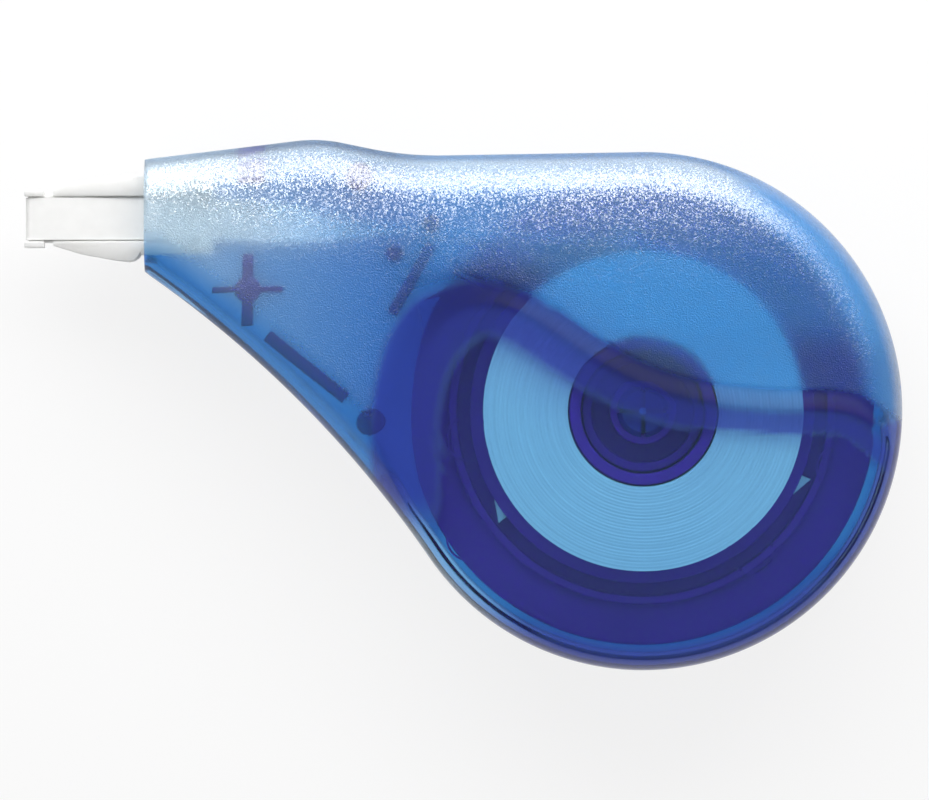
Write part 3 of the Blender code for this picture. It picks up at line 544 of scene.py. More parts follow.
# %% Rows of the sheet
TRIM = 0.03
SETTLE_RUN = 8.0
SLOWEST = 0.4
BEFORE_STEP, MOST_BEFORE = 1.2, 0.4
AFTER_STEP, MOST_AFTER = 4.2, 0.6
FOOT_SHARE = 0.25
CROWDING = 1.6


def plan_rows(depth, near, across, beyond, edge_rows):
    """Plan of every row: from the pole to the step, over it, on to the band, and out to the rim."""
    rows = []
    onward = unit(inner_edge - crossing)
    short = -step_state(crossing, depth)[0]
    rate = np.clip((step_state(crossing + PROBE * onward, depth)[0] + short) / PROBE, SLOWEST, 1)
    on_step = np.clip(np.maximum(low_limit - column_run, column_run - high_limit) / SETTLE_RUN, 0, 1)
    foot = crossing + onward * (np.clip(short, 0, 1) / rate * on_step)[:, None]
    gap_in = np.linalg.norm(foot - POLE, axis=1)
    step_in = foot + (POLE - foot) * np.minimum(BEFORE_STEP / gap_in, MOST_BEFORE)[:, None]
    gap_out = np.linalg.norm(inner_edge - foot, axis=1)
    step_out = foot + (inner_edge - foot) * np.minimum(AFTER_STEP / gap_out, MOST_AFTER)[:, None]
    for t in np.linspace(0, 1, near, endpoint=False):
        rows.append(POLE + (step_in - POLE) * t)
    for t in np.linspace(0, 1, across, endpoint=False):
        to_foot = min(t / FOOT_SHARE, 1)
        past_foot = max(t - FOOT_SHARE, 0) / (1 - FOOT_SHARE)
        rows.append(step_in + (foot - step_in) * to_foot + (step_out - foot) * past_foot)
    for t in 1 - (1 - np.linspace(0, 1, beyond, endpoint=False)) ** CROWDING:
        rows.append(step_out + (inner_edge - step_out) * t)
    edge = rim + leaning * ((depth + TRIM) / lean)[:, None]
    edge[0, 0] = edge[-1, 0] = MOUTH
    for t in edge_rows:
        rows.append(edge + (inner_edge - edge) * t)
    return np.array(rows), edge


def edge_shares(fillet, depth, count, extra=()):
    """Shares of the way from the rim to the band, close together where the edge turns over."""
    soft = fillet - depth
    turn = np.radians(np.linspace(90, 0, count))
    insets = list(soft * (1 - np.cos(turn))) + [e - depth for e in extra]
    shares = {round(float(inset / (BAND - depth)), 5) for inset in insets} | {1.0}
    return sorted((s for s in shares if 0 <= s <= 1), reverse=True)


FRONT_EDGE = edge_shares(FRONT_FILLET, 0, 15, (0.75, 0.95, 1.05, 1.15, 1.25, 1.38, 1.55))
FRONT_INNER_EDGE = edge_shares(FRONT_FILLET, WALL, len(FRONT_EDGE) - 1)
BACK_EDGE = edge_shares(BACK_FILLET, 0, 10)
BACK_INNER_EDGE = edge_shares(BACK_FILLET, WALL, 10)
print("rows on the edge", len(FRONT_EDGE), len(FRONT_INNER_EDGE), len(BACK_EDGE), len(BACK_INNER_EDGE))

# %% Lay a sheet and close the wall
SIDE_SHARES = (0.34, 0.67, 1.0)
SEAM_GAP = 4e-6
POINT_GAP = 2e-6
SLIVER = 1e-6
CASE_SMOOTH = math.radians(50)


def fresh():
    """Leave edit mode and let go of everything."""
    if bpy.context.object and bpy.context.object.mode != "OBJECT":
        bpy.ops.object.mode_set(mode="OBJECT")
    bpy.ops.object.select_all(action="DESELECT")


def take(piece):
    """Select one piece alone."""
    fresh()
    piece.select_set(True)
    bpy.context.view_layer.objects.active = piece


def place_points(piece, points):
    """Put the vertices of a new primitive where they belong, in millimetres."""
    piece.location = (0, 0, 0)
    piece.data.vertices.foreach_set("co", (points.reshape(-1, 3) * MM).astype(np.float32).ravel())


def merged(gap):
    """Merge the doubles of the piece in edit mode, point its faces outward and leave edit mode."""
    bpy.ops.mesh.select_all(action="SELECT")
    bpy.ops.mesh.remove_doubles(threshold=gap)
    bpy.ops.mesh.normals_make_consistent(inside=False)
    bpy.ops.object.mode_set(mode="OBJECT")


def laid_sheet(name, points):
    """Grid with one vertex for each given point, in rows, in millimetres."""
    fresh()
    count_rows, count_columns = points.shape[:2]
    bpy.ops.mesh.primitive_grid_add(x_subdivisions=count_columns - 1, y_subdivisions=count_rows - 1, size=1)
    sheet = bpy.context.object
    sheet.name = name
    place_points(sheet, points)
    return sheet


def skin(name, height, depth, counts, edge_rows, end):
    """One side of a wall: the sheet over the plan and the straight side down to the parting."""
    plan, edge = plan_rows(depth, *counts, edge_rows)
    flat = plan.reshape(-1, 2)
    inset = distance_to(flat, sparse_outline)[0]
    top = np.concatenate((flat, height(flat, inset, depth)[:, None]), 1).reshape(*plan.shape[:2], 3)
    side = []
    tuck = leaning * (lip_drop(edge[:, 0]) if depth == 0 else np.zeros(len(edge)))[:, None]
    for t in SIDE_SHARES:
        level = top[-1, :, 2] + (end - top[-1, :, 2]) * t
        side.append(np.concatenate((edge + tuck, level[:, None]), 1))
    top[-1, :, :2] += tuck
    return laid_sheet(name, np.concatenate((top, np.array(side))))


def walled(name, outer, inner):
    """Join two skins, merge their seams and bridge the open edges."""
    fresh()
    outer.select_set(True)
    inner.select_set(True)
    bpy.context.view_layer.objects.active = outer
    bpy.ops.object.join()
    outer.name = name
    bpy.ops.object.mode_set(mode="EDIT")
    bpy.ops.mesh.select_all(action="SELECT")
    bpy.ops.mesh.remove_doubles(threshold=SEAM_GAP)
    bpy.ops.mesh.dissolve_degenerate(threshold=SLIVER)
    bpy.ops.mesh.select_all(action="DESELECT")
    bpy.ops.mesh.select_non_manifold(extend=False, use_wire=False, use_boundary=True, use_multi_face=False,
                                     use_non_contiguous=False, use_verts=False)
    bpy.ops.mesh.bridge_edge_loops()
    bpy.ops.mesh.select_all(action="SELECT")
    bpy.ops.mesh.normals_make_consistent(inside=False)
    bpy.ops.object.mode_set(mode="OBJECT")
    bpy.ops.object.shade_smooth_by_angle(angle=CASE_SMOOTH)
    return outer


def open_edges(piece):
    """Number of edges that don't have two faces."""
    count = np.zeros(len(piece.data.edges), int)
    keys = np.empty(len(piece.data.loops), int)
    piece.data.loops.foreach_get("edge_index", keys)
    np.add.at(count, keys, 1)
    return int((count != 2).sum())


print("sheet kit ready")

# %% Front half and back half
PART_LINE = 0.1
FRONT_ROWS, FRONT_INNER_ROWS, BACK_ROWS = (20, 20, 16), (10, 16, 8), (6, 4, 8)
FRONT_FOOT = PARTING + PART_LINE
BACK_HEAD = PARTING - PART_LINE

outer = skin("front_outer", front_height, 0.0, FRONT_ROWS, FRONT_EDGE, FRONT_FOOT)
inner = skin("front_inner", front_height, WALL, FRONT_INNER_ROWS, FRONT_INNER_EDGE, FRONT_FOOT)
front = walled("front_case", outer, inner)
print("front case", len(front.data.polygons), "faces, open edges", open_edges(front))

outer = skin("back_outer", back_height, 0.0, BACK_ROWS, BACK_EDGE, BACK_HEAD)
inner = skin("back_inner", back_height, WALL, BACK_ROWS, BACK_INNER_EDGE, BACK_HEAD)
back = walled("back_case", outer, inner)
print("back case", len(back.data.polygons), "faces, open edges", open_edges(back))

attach(front, "case")
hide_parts("front_shell")
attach(back, "case")
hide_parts("back_shell")

# %% [markdown]
# ## Finishes of the case
#
# All the blue plastic holds the same dye, and how deep it looks depends on the wall's thickness and finish.
# Outside, the grip is blasted in the mould and glints off a fine grain, and the window is polished with a
# faint flow. Inside, the faces are smooth, with round marks where the ejector pins pushed. A texture can't
# know where the grip ends, so the vertices carry values for frost, dye and haze, and the finishes read them.
# Some of those values are painted light: a painted shadow under the step, painted shade towards the bottom of
# the round end, a painted highlight band along the top edge, and a coat whose strength is painted where the
# lamps' sheen should fall.

# %% Blue plastic
FRONT_INK = (0.19, 0.52, 0.84, 1)
FROST_INK = (0.035, 0.33, 0.80, 1)
# Deeper tint of the rim seen edge-on, with a painted shadow under the step and painted shade towards the
# bottom of the round end.
RIM_DYE_AND_PAINTED_SHADE_INK = (0.04, 0.06, 0.44, 1)
# Pale where the neck is thin, and a painted highlight band along the turned-over top edge.
PALE_AND_HIGHLIGHT_INK = (0.62, 0.84, 1.0, 1)
BACK_INK = (0.06, 0.28, 0.63, 1)
# Back half: deeper rim tint, with the same painted shadow and painted shade.
BACK_RIM_DYE_AND_PAINTED_SHADE_INK = (0.02, 0.07, 0.38, 1)
OUTER_SOCKETS = {"IOR": 1.5, "Specular IOR Level": 0.35, "Coat Roughness": 0.26, "Coat IOR": 2.6}
INNER_SOCKETS = {"Transmission Weight": 1.0, "IOR": 1.5, "Specular IOR Level": 0.15}


def surface(name, **sockets):
    """New material with a Principled shader; constants go on its own sockets."""
    material = bpy.data.materials.new(name)
    tree = tree_of(material)
    shader = add(tree, "ShaderNodeBsdfPrincipled", **sockets)
    out = add(tree, "ShaderNodeOutputMaterial")
    tree.links.new(shader.outputs[0], out.inputs["Surface"])
    return material, tree, shader


def noise(tree, grain_mm, detail=2.0, stretch=(1, 1, 1)):
    """Noise in the piece's own space with grains of about this size."""
    place = add(tree, "ShaderNodeTexCoord")
    turn = add(tree, "ShaderNodeMapping")
    turn.inputs["Scale"].default_value = stretch
    cloud = add(tree, "ShaderNodeTexNoise", Scale=1.0 / (grain_mm * MM), Detail=detail, Roughness=0.55)
    tree.links.new(place.outputs["Object"], turn.inputs["Vector"])
    tree.links.new(turn.outputs["Vector"], cloud.inputs["Vector"])
    return cloud.outputs["Fac"]


def ranged(tree, value, low, high, start=0.3, end=0.7):
    """Spread a value over a new range."""
    node = add(tree, "ShaderNodeMapRange")
    set_range(node, start, end, low, high)
    tree.links.new(value, node.inputs["Value"])
    return node.outputs["Result"]


def bumped(tree, shader, height, depth_mm, strength=1.0, after=None, socket="Normal"):
    """Raise the surface by a height of 0 to 1 times a depth."""
    node = add(tree, "ShaderNodeBump", Strength=strength, Distance=depth_mm * MM)
    tree.links.new(height, node.inputs["Height"])
    if after is not None:
        tree.links.new(after, node.inputs["Normal"])
    tree.links.new(node.outputs["Normal"], shader.inputs[socket])
    return node.outputs["Normal"]


def tinted(tree, shader, value, first, second):
    """Colour that drifts between two shades; the first may be a colour that is made already."""
    node = add(tree, "ShaderNodeMix", data_type="RGBA")
    if isinstance(first, tuple):
        node.inputs[6].default_value = first
    else:
        tree.links.new(first, node.inputs[6])
    node.inputs[7].default_value = second
    tree.links.new(value, node.inputs[0])
    tree.links.new(node.outputs[2], shader.inputs["Base Color"])
    return node.outputs[2]


def of_piece(tree, name):
    """A value that is stored on the piece's own vertices."""
    return add(tree, "ShaderNodeAttribute", attribute_name=name).outputs["Fac"]


def product(tree, first, second):
    """Product of two values."""
    node = add(tree, "ShaderNodeMath", operation="MULTIPLY")
    tree.links.new(first, node.inputs[0])
    tree.links.new(second, node.inputs[1])
    return node.outputs[0]


def between(tree, share, first, second):
    """Value that goes from the first to the second as the share goes from 0 to 1."""
    node = add(tree, "ShaderNodeMix", data_type="FLOAT")
    tree.links.new(share, node.inputs[0])
    tree.links.new(first, node.inputs[2])
    tree.links.new(second, node.inputs[3])
    return node.outputs[0]


def moulded(name, sockets, gloss, dye, relief):
    """Finish whose gloss, colour and relief drift, each given by a grain size in millimetres and a range."""
    material, tree, shader = surface(name, **sockets)
    if gloss:
        grain_mm, low, high = gloss
        tree.links.new(ranged(tree, noise(tree, grain_mm), low, high), shader.inputs["Roughness"])
    grain_mm, first, second = dye
    tinted(tree, shader, ranged(tree, noise(tree, grain_mm), 0, 1), first, second)
    grain_mm, detail, depth_mm, strength = relief
    normal = bumped(tree, shader, noise(tree, grain_mm, detail), depth_mm, strength)
    return material, tree, shader, normal


print("finish kit ready")

# %% Outside of the front: polished window and blasted grip
ROOF = 2.0
ROOF_FOOT = 10.0
METRE = 1000.0
GLINT_GRAIN, GLINT_TILT = 0.12, 0.5


def facets(tree, normal, grain_mm, tilt):
    """Normals of a blasted skin: each grain is a tiny facet with a tilt of its own."""
    place = add(tree, "ShaderNodeTexCoord")
    grains = add(tree, "ShaderNodeTexVoronoi", Scale=1.0 / (grain_mm * MM))
    centred = add(tree, "ShaderNodeVectorMath", operation="SUBTRACT")
    centred.inputs[1].default_value = (0.5, 0.5, 0.5)
    turned_by = add(tree, "ShaderNodeVectorMath", operation="SCALE")
    turned_by.inputs["Scale"].default_value = tilt
    both = add(tree, "ShaderNodeVectorMath", operation="ADD")
    final = add(tree, "ShaderNodeVectorMath", operation="NORMALIZE")
    tree.links.new(place.outputs["Object"], grains.inputs["Vector"])
    tree.links.new(grains.outputs["Color"], centred.inputs[0])
    tree.links.new(centred.outputs[0], turned_by.inputs[0])
    tree.links.new(normal, both.inputs[0])
    tree.links.new(turned_by.outputs[0], both.inputs[1])
    tree.links.new(both.outputs[0], final.inputs[0])
    return final.outputs[0]


def roof_height(tree):
    """Height in metres of a grip that falls away towards the top edge like a roof."""
    place = add(tree, "ShaderNodeTexCoord")
    parts = add(tree, "ShaderNodeSeparateXYZ")
    tree.links.new(place.outputs["Object"], parts.inputs[0])
    above = add(tree, "ShaderNodeMath", operation="SUBTRACT")
    above.inputs[1].default_value = ROOF_FOOT * MM
    tree.links.new(parts.outputs["Y"], above.inputs[0])
    only = add(tree, "ShaderNodeMath", operation="MAXIMUM")
    only.inputs[1].default_value = 0.0
    tree.links.new(above.outputs[0], only.inputs[0])
    fall = add(tree, "ShaderNodeMath", operation="MULTIPLY")
    fall.inputs[1].default_value = -ROOF / 2
    tree.links.new(product(tree, only.outputs[0], only.outputs[0]), fall.inputs[0])
    return fall.outputs[0]


front_blue, tree, shader = surface("front_blue", **OUTER_SOCKETS)
frost = of_piece(tree, "frost")
clear_gloss = ranged(tree, noise(tree, 6.0), 0.03, 0.08)
frost_gloss = ranged(tree, noise(tree, 0.5), 0.28, 0.36)
tree.links.new(between(tree, frost, clear_gloss, frost_gloss), shader.inputs["Roughness"])
# Less light passes where the plastic hazes, and along the rim tint, painted shadow and painted shade, so
# their colour shows.
tree.links.new(of_piece(tree, "clear"), shader.inputs["Transmission Weight"])
# Coat strength is painted sheen: it is strongest along the top edge and round the end, where the lamps' band
# should fall, and the coat itself reflects the lamps.
tree.links.new(of_piece(tree, "painted_sheen"), shader.inputs["Coat Weight"])
ink = tinted(tree, shader, of_piece(tree, "deep"), FRONT_INK, FROST_INK)
# Paler where the neck is thin, and a painted highlight band along the turned-over top edge.
ink = tinted(tree, shader, of_piece(tree, "pale_and_highlight"), ink, PALE_AND_HIGHLIGHT_INK)
# Deeper tint on the rim seen edge-on, a painted shadow under the step and painted shade towards the bottom of
# the round end.
tinted(tree, shader, of_piece(tree, "edge"), ink, RIM_DYE_AND_PAINTED_SHADE_INK)
wavy = bumped(tree, shader, noise(tree, 5.0, 1.0, (1, 2.2, 1)), 0.03, 0.4)
grain = product(tree, noise(tree, 0.15, 1.0), frost)
bumped(tree, shader, grain, 0.08, 1.0, wavy)
roof = bumped(tree, shader, roof_height(tree), METRE, 1.0, None, "Coat Normal")
tree.links.new(facets(tree, roof, GLINT_GRAIN, GLINT_TILT), shader.inputs["Coat Normal"])
print("outside of the front", front_blue.name)

# %% Inside of the front, and the back
EJECTOR_EDGE = (2.1, 2.3)
EJECTORS = WINDOW_RADIUS * np.array((
    (-0.70, -0.11), (-0.70, -0.51), (0.43, -0.56), (0.785, -0.23), (0.765, 0.30), (-0.665, 0.58)))


def ejector_height(tree):
    """Height that drops by 1 inside each round ejector mark."""
    place = add(tree, "ShaderNodeTexCoord")
    flat = add(tree, "ShaderNodeVectorMath", operation="MULTIPLY")
    flat.inputs[1].default_value = (1, 1, 0)
    tree.links.new(place.outputs["Object"], flat.inputs[0])
    nearest = None
    for x, y in EJECTORS:
        gap = add(tree, "ShaderNodeVectorMath", operation="DISTANCE")
        gap.inputs[1].default_value = (x * MM, y * MM, 0)
        tree.links.new(flat.outputs[0], gap.inputs[0])
        if nearest is None:
            nearest = gap.outputs["Value"]
            continue
        lower = add(tree, "ShaderNodeMath", operation="MINIMUM")
        tree.links.new(nearest, lower.inputs[0])
        tree.links.new(gap.outputs["Value"], lower.inputs[1])
        nearest = lower.outputs[0]
    return ranged(tree, nearest, 0, 1, EJECTOR_EDGE[0] * MM, EJECTOR_EDGE[1] * MM)


inner_blue, tree, shader, flow = moulded(
    "inner_blue", INNER_SOCKETS, (4.0, 0.06, 0.14),
    (11.0, (0.96, 0.98, 1.0, 1), (0.90, 0.95, 0.99, 1)), (3.0, 1.0, 0.02, 0.4))
bumped(tree, shader, ejector_height(tree), 0.03, 1.0, flow)

back_blue, tree, shader = surface("back_blue", **{"Transmission Weight": 0.97, "IOR": 1.5})
tree.links.new(ranged(tree, noise(tree, 0.8), 0.14, 0.26), shader.inputs["Roughness"])
# Deeper tint on the rim, and the same painted shadow under the step and painted shade towards the bottom.
tinted(tree, shader, of_piece(tree, "edge"), BACK_INK, BACK_RIM_DYE_AND_PAINTED_SHADE_INK)
bumped(tree, shader, noise(tree, 0.3, 2.0), 0.015, 0.6)

back_inner, *_ = moulded(
    "back_inner_blue", INNER_SOCKETS, (4.0, 0.08, 0.16),
    (11.0, BACK_INK, (0.055, 0.27, 0.62, 1)), (3.0, 1.0, 0.02, 0.4))
print("inside and back", inner_blue.name, back_blue.name, back_inner.name)

# %% Rules for frost, glint, dye and haze over the plan
# A pair is where a soft ramp starts and where it is full: millimetres of the plan, shares of the step's slope
# or values of dye. Two pairs are a ramp that moves. Single values are strengths, and so are the pairs for the
# turned edge's painted highlight and for the painted step shadow, which go from the first to the second.
# Several marks here are painted light: painted sheen, a painted highlight band, a painted shadow under the
# step and painted shade towards the bottom of the round end.
ROUND_END, RIGHT_HALF = (6, 14), (2, 9)
NECK, THIN_NECK, PALE_MOUTH, CLEAR_NECK = (10, 20), (22, 46), (36, 46), (-26, -19)
ON_GRIP, OFF_STEP = (0.85, 1.15), (0.95, 1.3)
LOW_POLISH = (1.0, 5.0)

# Painted sheen: where the coat is strong, along the top edge, a line round the end and the shoulder.
GLINT_LEAST, GLINT_RISE, GLINT_RAMPS = 0.10, (14, 23.5), ((0.1, 1.0), (0.8, 3.0))
END_LINE, END_LINE_RAMP = 0.9, (0.2, 1.5)
SHOULDER, SHOULDER_START, SHOULDER_END, SHOULDER_RISE = 0.28, (1.5, 3.0), (4.5, 7.0), (-2, 10)

# Painted highlight: a pale band along the turned-over top edge, strong on the neck and weak round the end,
# with a thin blue line left at the outline.
TURNED_EDGE, TURNED_HIGHLIGHT = (0.8, 3.4), (0.9, 0.1)
RIM_LINE, RIM_LINE_LEAST = (0.3, 1.0), 0.3

# Painted shadow under the step: lighter on the slope's right part, and fading out low down.
PAINTED_STEP_SHADOW, PAINTED_STEP_SHADOW_RAMPS, MOST_STEP_SHADOW = (0.82, 0.90), ((-4.2, -2.0), (-2.6, -2.0)), 0.95
WIDE_STEP_SHADOW, WIDE_STEP_SHADOW_RAMP = 0.22, (-9.5, -3.0)
SLOPE_LIGHT, SLOPE_LIGHT_RAMP = 0.45, (-0.6, 0.6)
STEP_FADE = (-16, -8)
RIM_DYE_RAMPS, NECK_RIM_DYE, FROST_RIM_DYE = ((0.3, 1.8), (0.1, 0.9)), 0.45, 0.15
# Painted shade towards the bottom of the round end.
LOW_SHADE, LOW_SHADE_FALL, LOW_SHADE_START, LOW_SHADE_INSET = 0.85, (10, 19), (-16, -8), (2.2, 3.0)

FROST_HAZE, GRIP_HAZE, MOUTH_HAZE, POLISH_HAZE = 0.06, 0.22, 0.12, 0.25
HAZE_RAMPS = ((2.5, 7.0), (5.0, 10.0))
# Less light through along the rim tint, painted shadow and painted shade.
EDGE_HAZE, EDGE_HAZE_RAMP = 0.38, (0.45, 1.0)
END_HAZE, END_HAZE_RAMP = 0.22, (2.0, 5.0)


def mixed(share, first, second):
    """Number that goes from the first to the second as the share goes from 0 to 1."""
    return first + (second - first) * share


def moving(value, share, first, second):
    """Soft ramp whose limits move from the first pair to the second as the share goes from 0 to 1."""
    return smooth(value, mixed(share, first[0], second[0]), mixed(share, first[1], second[1]))


def painted_sheen_of(up, inset, grip, frost, round_end):
    """Coat strength, a painted sheen placed so that the lamps glint most along the top edge, then along a
    line round the end.
    """
    top = frost * mixed(smooth(up, *GLINT_RISE), GLINT_LEAST, 1) * moving(inset, round_end, *GLINT_RAMPS)
    line = END_LINE * grip * round_end * (1 - smooth(inset, *END_LINE_RAMP))
    shoulder = smooth(inset, *SHOULDER_START) * (1 - smooth(inset, *SHOULDER_END))
    shoulder *= smooth(up, *SHOULDER_RISE)
    return np.maximum(np.maximum(top, line), SHOULDER * frost * round_end * shoulder)


def pale_and_highlight_of(x, inset, frost, round_end):
    """How pale the frosted plastic is: paler where the neck is thin, and a painted highlight band where the
    top edge turns over.
    """
    turned_edge = (1 - smooth(inset, *TURNED_EDGE)) * mixed(round_end, *TURNED_HIGHLIGHT)
    turned_edge *= mixed(smooth(inset, *RIM_LINE), RIM_LINE_LEAST, 1)
    return frost * np.maximum(smooth(-x, *THIN_NECK), turned_edge)


def dye_and_painted_shade_of(x, up, inset, into, climb, frost, right):
    """Deeper dye: a painted shadow under the step, deeper tint where the rim is seen edge-on, and painted
    shade low on the end.
    """
    # Painted shadow under the step, lighter on the slope's right part.
    step_shadow = mixed(right, *PAINTED_STEP_SHADOW) * moving(into, right, *PAINTED_STEP_SHADOW_RAMPS)
    step_shadow = np.minimum(step_shadow + WIDE_STEP_SHADOW * smooth(into, *WIDE_STEP_SHADOW_RAMP) * (1 - right), MOST_STEP_SHADOW)
    step_shadow *= 1 - SLOPE_LIGHT * right * smooth(into, *SLOPE_LIGHT_RAMP)
    step_shadow *= (1 - smooth(climb, *OFF_STEP)) * smooth(up, *STEP_FADE)
    neck = smooth(-x, *NECK)
    rim_dye = (1 - moving(inset, neck, *RIM_DYE_RAMPS)) * mixed(neck, 1, NECK_RIM_DYE)
    rim_dye *= mixed(frost, 1, FROST_RIM_DYE)
    # Painted shade towards the bottom of the round end.
    low_shade = LOW_SHADE * smooth(-up, *LOW_SHADE_FALL) * smooth(x, *LOW_SHADE_START)
    low_shade *= 1 - smooth(inset, *LOW_SHADE_INSET)
    return np.maximum(np.maximum(rim_dye, step_shadow), low_shade)


def haze_of(x, inset, into, grip, frost, edge, right, round_end):
    """How much of the light the plastic scatters and doesn't let through; it lets less through along the rim
    tint, the painted shadow and the painted shade, so their colour shows.
    """
    hazy = FROST_HAZE + MOUTH_HAZE * smooth(-x, *PALE_MOUTH)
    hazy += GRIP_HAZE * moving(into, right, *HAZE_RAMPS) * smooth(x, *CLEAR_NECK)
    hazy += END_HAZE * round_end * (1 - smooth(inset, *END_HAZE_RAMP))
    return hazy * frost + POLISH_HAZE * (grip - frost) + EDGE_HAZE * smooth(edge, *EDGE_HAZE_RAMP)


print("rules ready")

# %% Mark the case, and give each face its finish
def places_of(items, key):
    """Places of vertices or middles of faces, in millimetres."""
    places = np.empty(len(items) * 3, np.float32)
    items.foreach_get(key, places)
    return places.reshape(-1, 3).astype(float) / MM


def mark(piece, name, values):
    """Store a value on every vertex."""
    layer = piece.data.attributes.new(name, "FLOAT", "POINT")
    layer.data.foreach_set("value", values.astype(np.float32))


def marks_of(plan, inset):
    """What the mould and the dye do at each place of the case, with painted shadow, shade, highlight and
    sheen: values of 0 to 1.
    """
    x, up = plan[:, 0], plan[:, 1]
    into, slope = step_state(plan, 0.0)
    round_end, right = smooth(x, *ROUND_END), smooth(x, *RIGHT_HALF)
    grip = smooth(into / slope, *ON_GRIP)
    frost = grip * smooth(distance_to(plan, underside)[0], *LOW_POLISH)
    edge = dye_and_painted_shade_of(x, up, inset, into, into / slope, frost, right)
    return {
        "frost": frost,
        "painted_sheen": painted_sheen_of(up, inset, grip, frost, round_end),
        "deep": grip,
        "pale_and_highlight": pale_and_highlight_of(x, inset, frost, round_end),
        "edge": edge,
        "clear": 1 - haze_of(x, inset, into, grip, frost, edge, right, round_end),
    }


def paint_case(piece, height, finishes):
    """Outer faces take the first finish, inner faces the second."""
    plan = places_of(piece.data.vertices, "co")[:, :2]
    for name, values in marks_of(plan, distance_to(plan, sparse_outline)[0]).items():
        mark(piece, name, values)
    middles = places_of(piece.data.polygons, "center")
    plan = middles[:, :2]
    inset = distance_to(plan, sparse_outline)[0]
    to_outer = np.abs(middles[:, 2] - height(plan, inset, 0.0))
    to_inner = np.abs(middles[:, 2] - height(plan, np.maximum(inset, WALL), WALL))
    outer = (inset < WALL / 2) | (to_outer < to_inner)
    for finish in finishes:
        piece.data.materials.append(finish)
    piece.data.polygons.foreach_set("material_index", np.where(outer, 0, 1).astype(np.int32))
    return int(outer.sum()), int((~outer).sum())


print("front faces", paint_case(front, front_height, (front_blue, inner_blue)))
print("back faces", paint_case(back, back_height, (back_blue, back_inner)))

# %% [markdown]
# ## Posts and ribs inside the case
#
# Sockets, ribs and a bar hang from the front half, and dowels, tape guides and the axle stand on the back
# half. They are ordinary upright posts, so each is a flat outline that is filled, extruded and bevelled. The
# top of a rib follows the inside of the rounded shell.

# %% Upright posts
POST_BEVEL = 0.12
INTO_WALL = 0.75 * WALL
BEVEL_OVER, POST_SMOOTH = math.radians(35), math.radians(40)


def settle(piece, bevel_mm, segments=2):
    """Round the edges and shade the faces smooth."""
    take(piece)
    if bevel_mm:
        step = piece.modifiers.new("edge", "BEVEL")
        step.width = bevel_mm * MM
        step.segments = segments
        step.limit_method = "ANGLE"
        step.angle_limit = BEVEL_OVER
        bpy.ops.object.modifier_apply(modifier="edge")
    bpy.ops.object.shade_smooth_by_angle(angle=POST_SMOOTH)
    return piece


def level_of(value, plan):
    """A level given as a number, or as a rule over the plan."""
    return value(plan) if callable(value) else np.full(len(plan), float(value))


def upright_post(name, plan, low, high, bevel_mm=POST_BEVEL):
    """Outline that is filled and extruded from one level to another."""
    fresh()
    plan = np.asarray(plan, float)
    count = len(plan)
    bpy.ops.mesh.primitive_circle_add(vertices=count, radius=MM, fill_type="NGON")
    post = bpy.context.object
    post.name = name
    place_points(post, np.concatenate((plan, level_of(low, plan)[:, None]), 1))
    bpy.ops.object.mode_set(mode="EDIT")
    bpy.ops.mesh.select_all(action="SELECT")
    bpy.ops.mesh.extrude_region_move(TRANSFORM_OT_translate={"value": (0, 0, MM)})
    bpy.ops.object.mode_set(mode="OBJECT")
    head = np.concatenate((plan, level_of(high, plan)[:, None]), 1) * MM
    for i in range(count):
        post.data.vertices[count + i].co = head[i]
    bpy.ops.object.mode_set(mode="EDIT")
    bpy.ops.mesh.select_all(action="SELECT")
    bpy.ops.mesh.normals_make_consistent(inside=False)
    bpy.ops.object.mode_set(mode="OBJECT")
    return settle(post, bevel_mm)


def round_plan(centre, radius, count=28):
    """Round outline."""
    turn = np.linspace(0, math.tau, count, endpoint=False)
    return np.stack((centre[0] + radius * np.cos(turn), centre[1] + radius * np.sin(turn)), 1)


def bar_plan(start, end, width, pieces=8):
    """Outline of a straight bar, with points along its sides."""
    start, end = np.asarray(start, float), np.asarray(end, float)
    along = unit(end - start)
    side = np.array((-along[1], along[0])) * width / 2
    way = start + (end - start) * np.linspace(0, 1, pieces + 1)[:, None]
    return np.concatenate((way - side, (way + side)[::-1]))


def box_plan(left, right, low, high):
    """Outline of a block along the axes."""
    return bar_plan((left, (low + high) / 2), (right, (low + high) / 2), high - low, 3)


def under_front(plan):
    """A level just inside the front wall."""
    return front_height(plan, distance_to(plan, sparse_outline)[0], INTO_WALL)


def over_back(plan):
    """A level just inside the back wall."""
    return back_height(plan, distance_to(plan, sparse_outline)[0], INTO_WALL)


def over_underside(x, depth):
    """Place over the underside at x, this deep inside the case."""
    return np.array((x, hollow[1] + math.sqrt((UNDERSIDE + depth) ** 2 - (x - hollow[0]) ** 2)))


def polar(radius, degrees):
    """Place at a radius and an angle about the axle."""
    return np.array((radius * math.cos(math.radians(degrees)), radius * math.sin(math.radians(degrees))))


print("post kit ready")

# %% Sockets, dowels, ribs, stops, snap and guides
DOWELS = {
    "top": np.array((MOUTH + 21.4, BULB - 2.7)),
    "low": over_underside(MOUTH + 22.6, 3.9),
    "neck": np.array((MOUTH + 10.4, TIP_LINE - 7.1)),
}
SOCKET, DOWEL, DOWEL_FOOT, FOOT_RISE, DOWEL_SHORT = 1.3, 0.65, 1.15, 1.5, 0.5
GUIDES = {"supply": polar(28.05, 138.5), "return": polar(29.2, 147.7)}
GUIDE, GUIDE_SHORT = 0.9, 0.9
RIB = 1.1
NECK_RIBS = {"along": ((3.5, 0), 0.6), "across": ((0, 3.5), RIB)}
RIB_FOOT = PARTING + 1.1
BAR_RADIUS, BAR_BEARING, BAR_HALF = 26.4, 150.3, 4.0
LOWER_RIB = over_underside(MOUTH + 12.4, 2.8), over_underside(MOUTH + 20.2, 3.7)
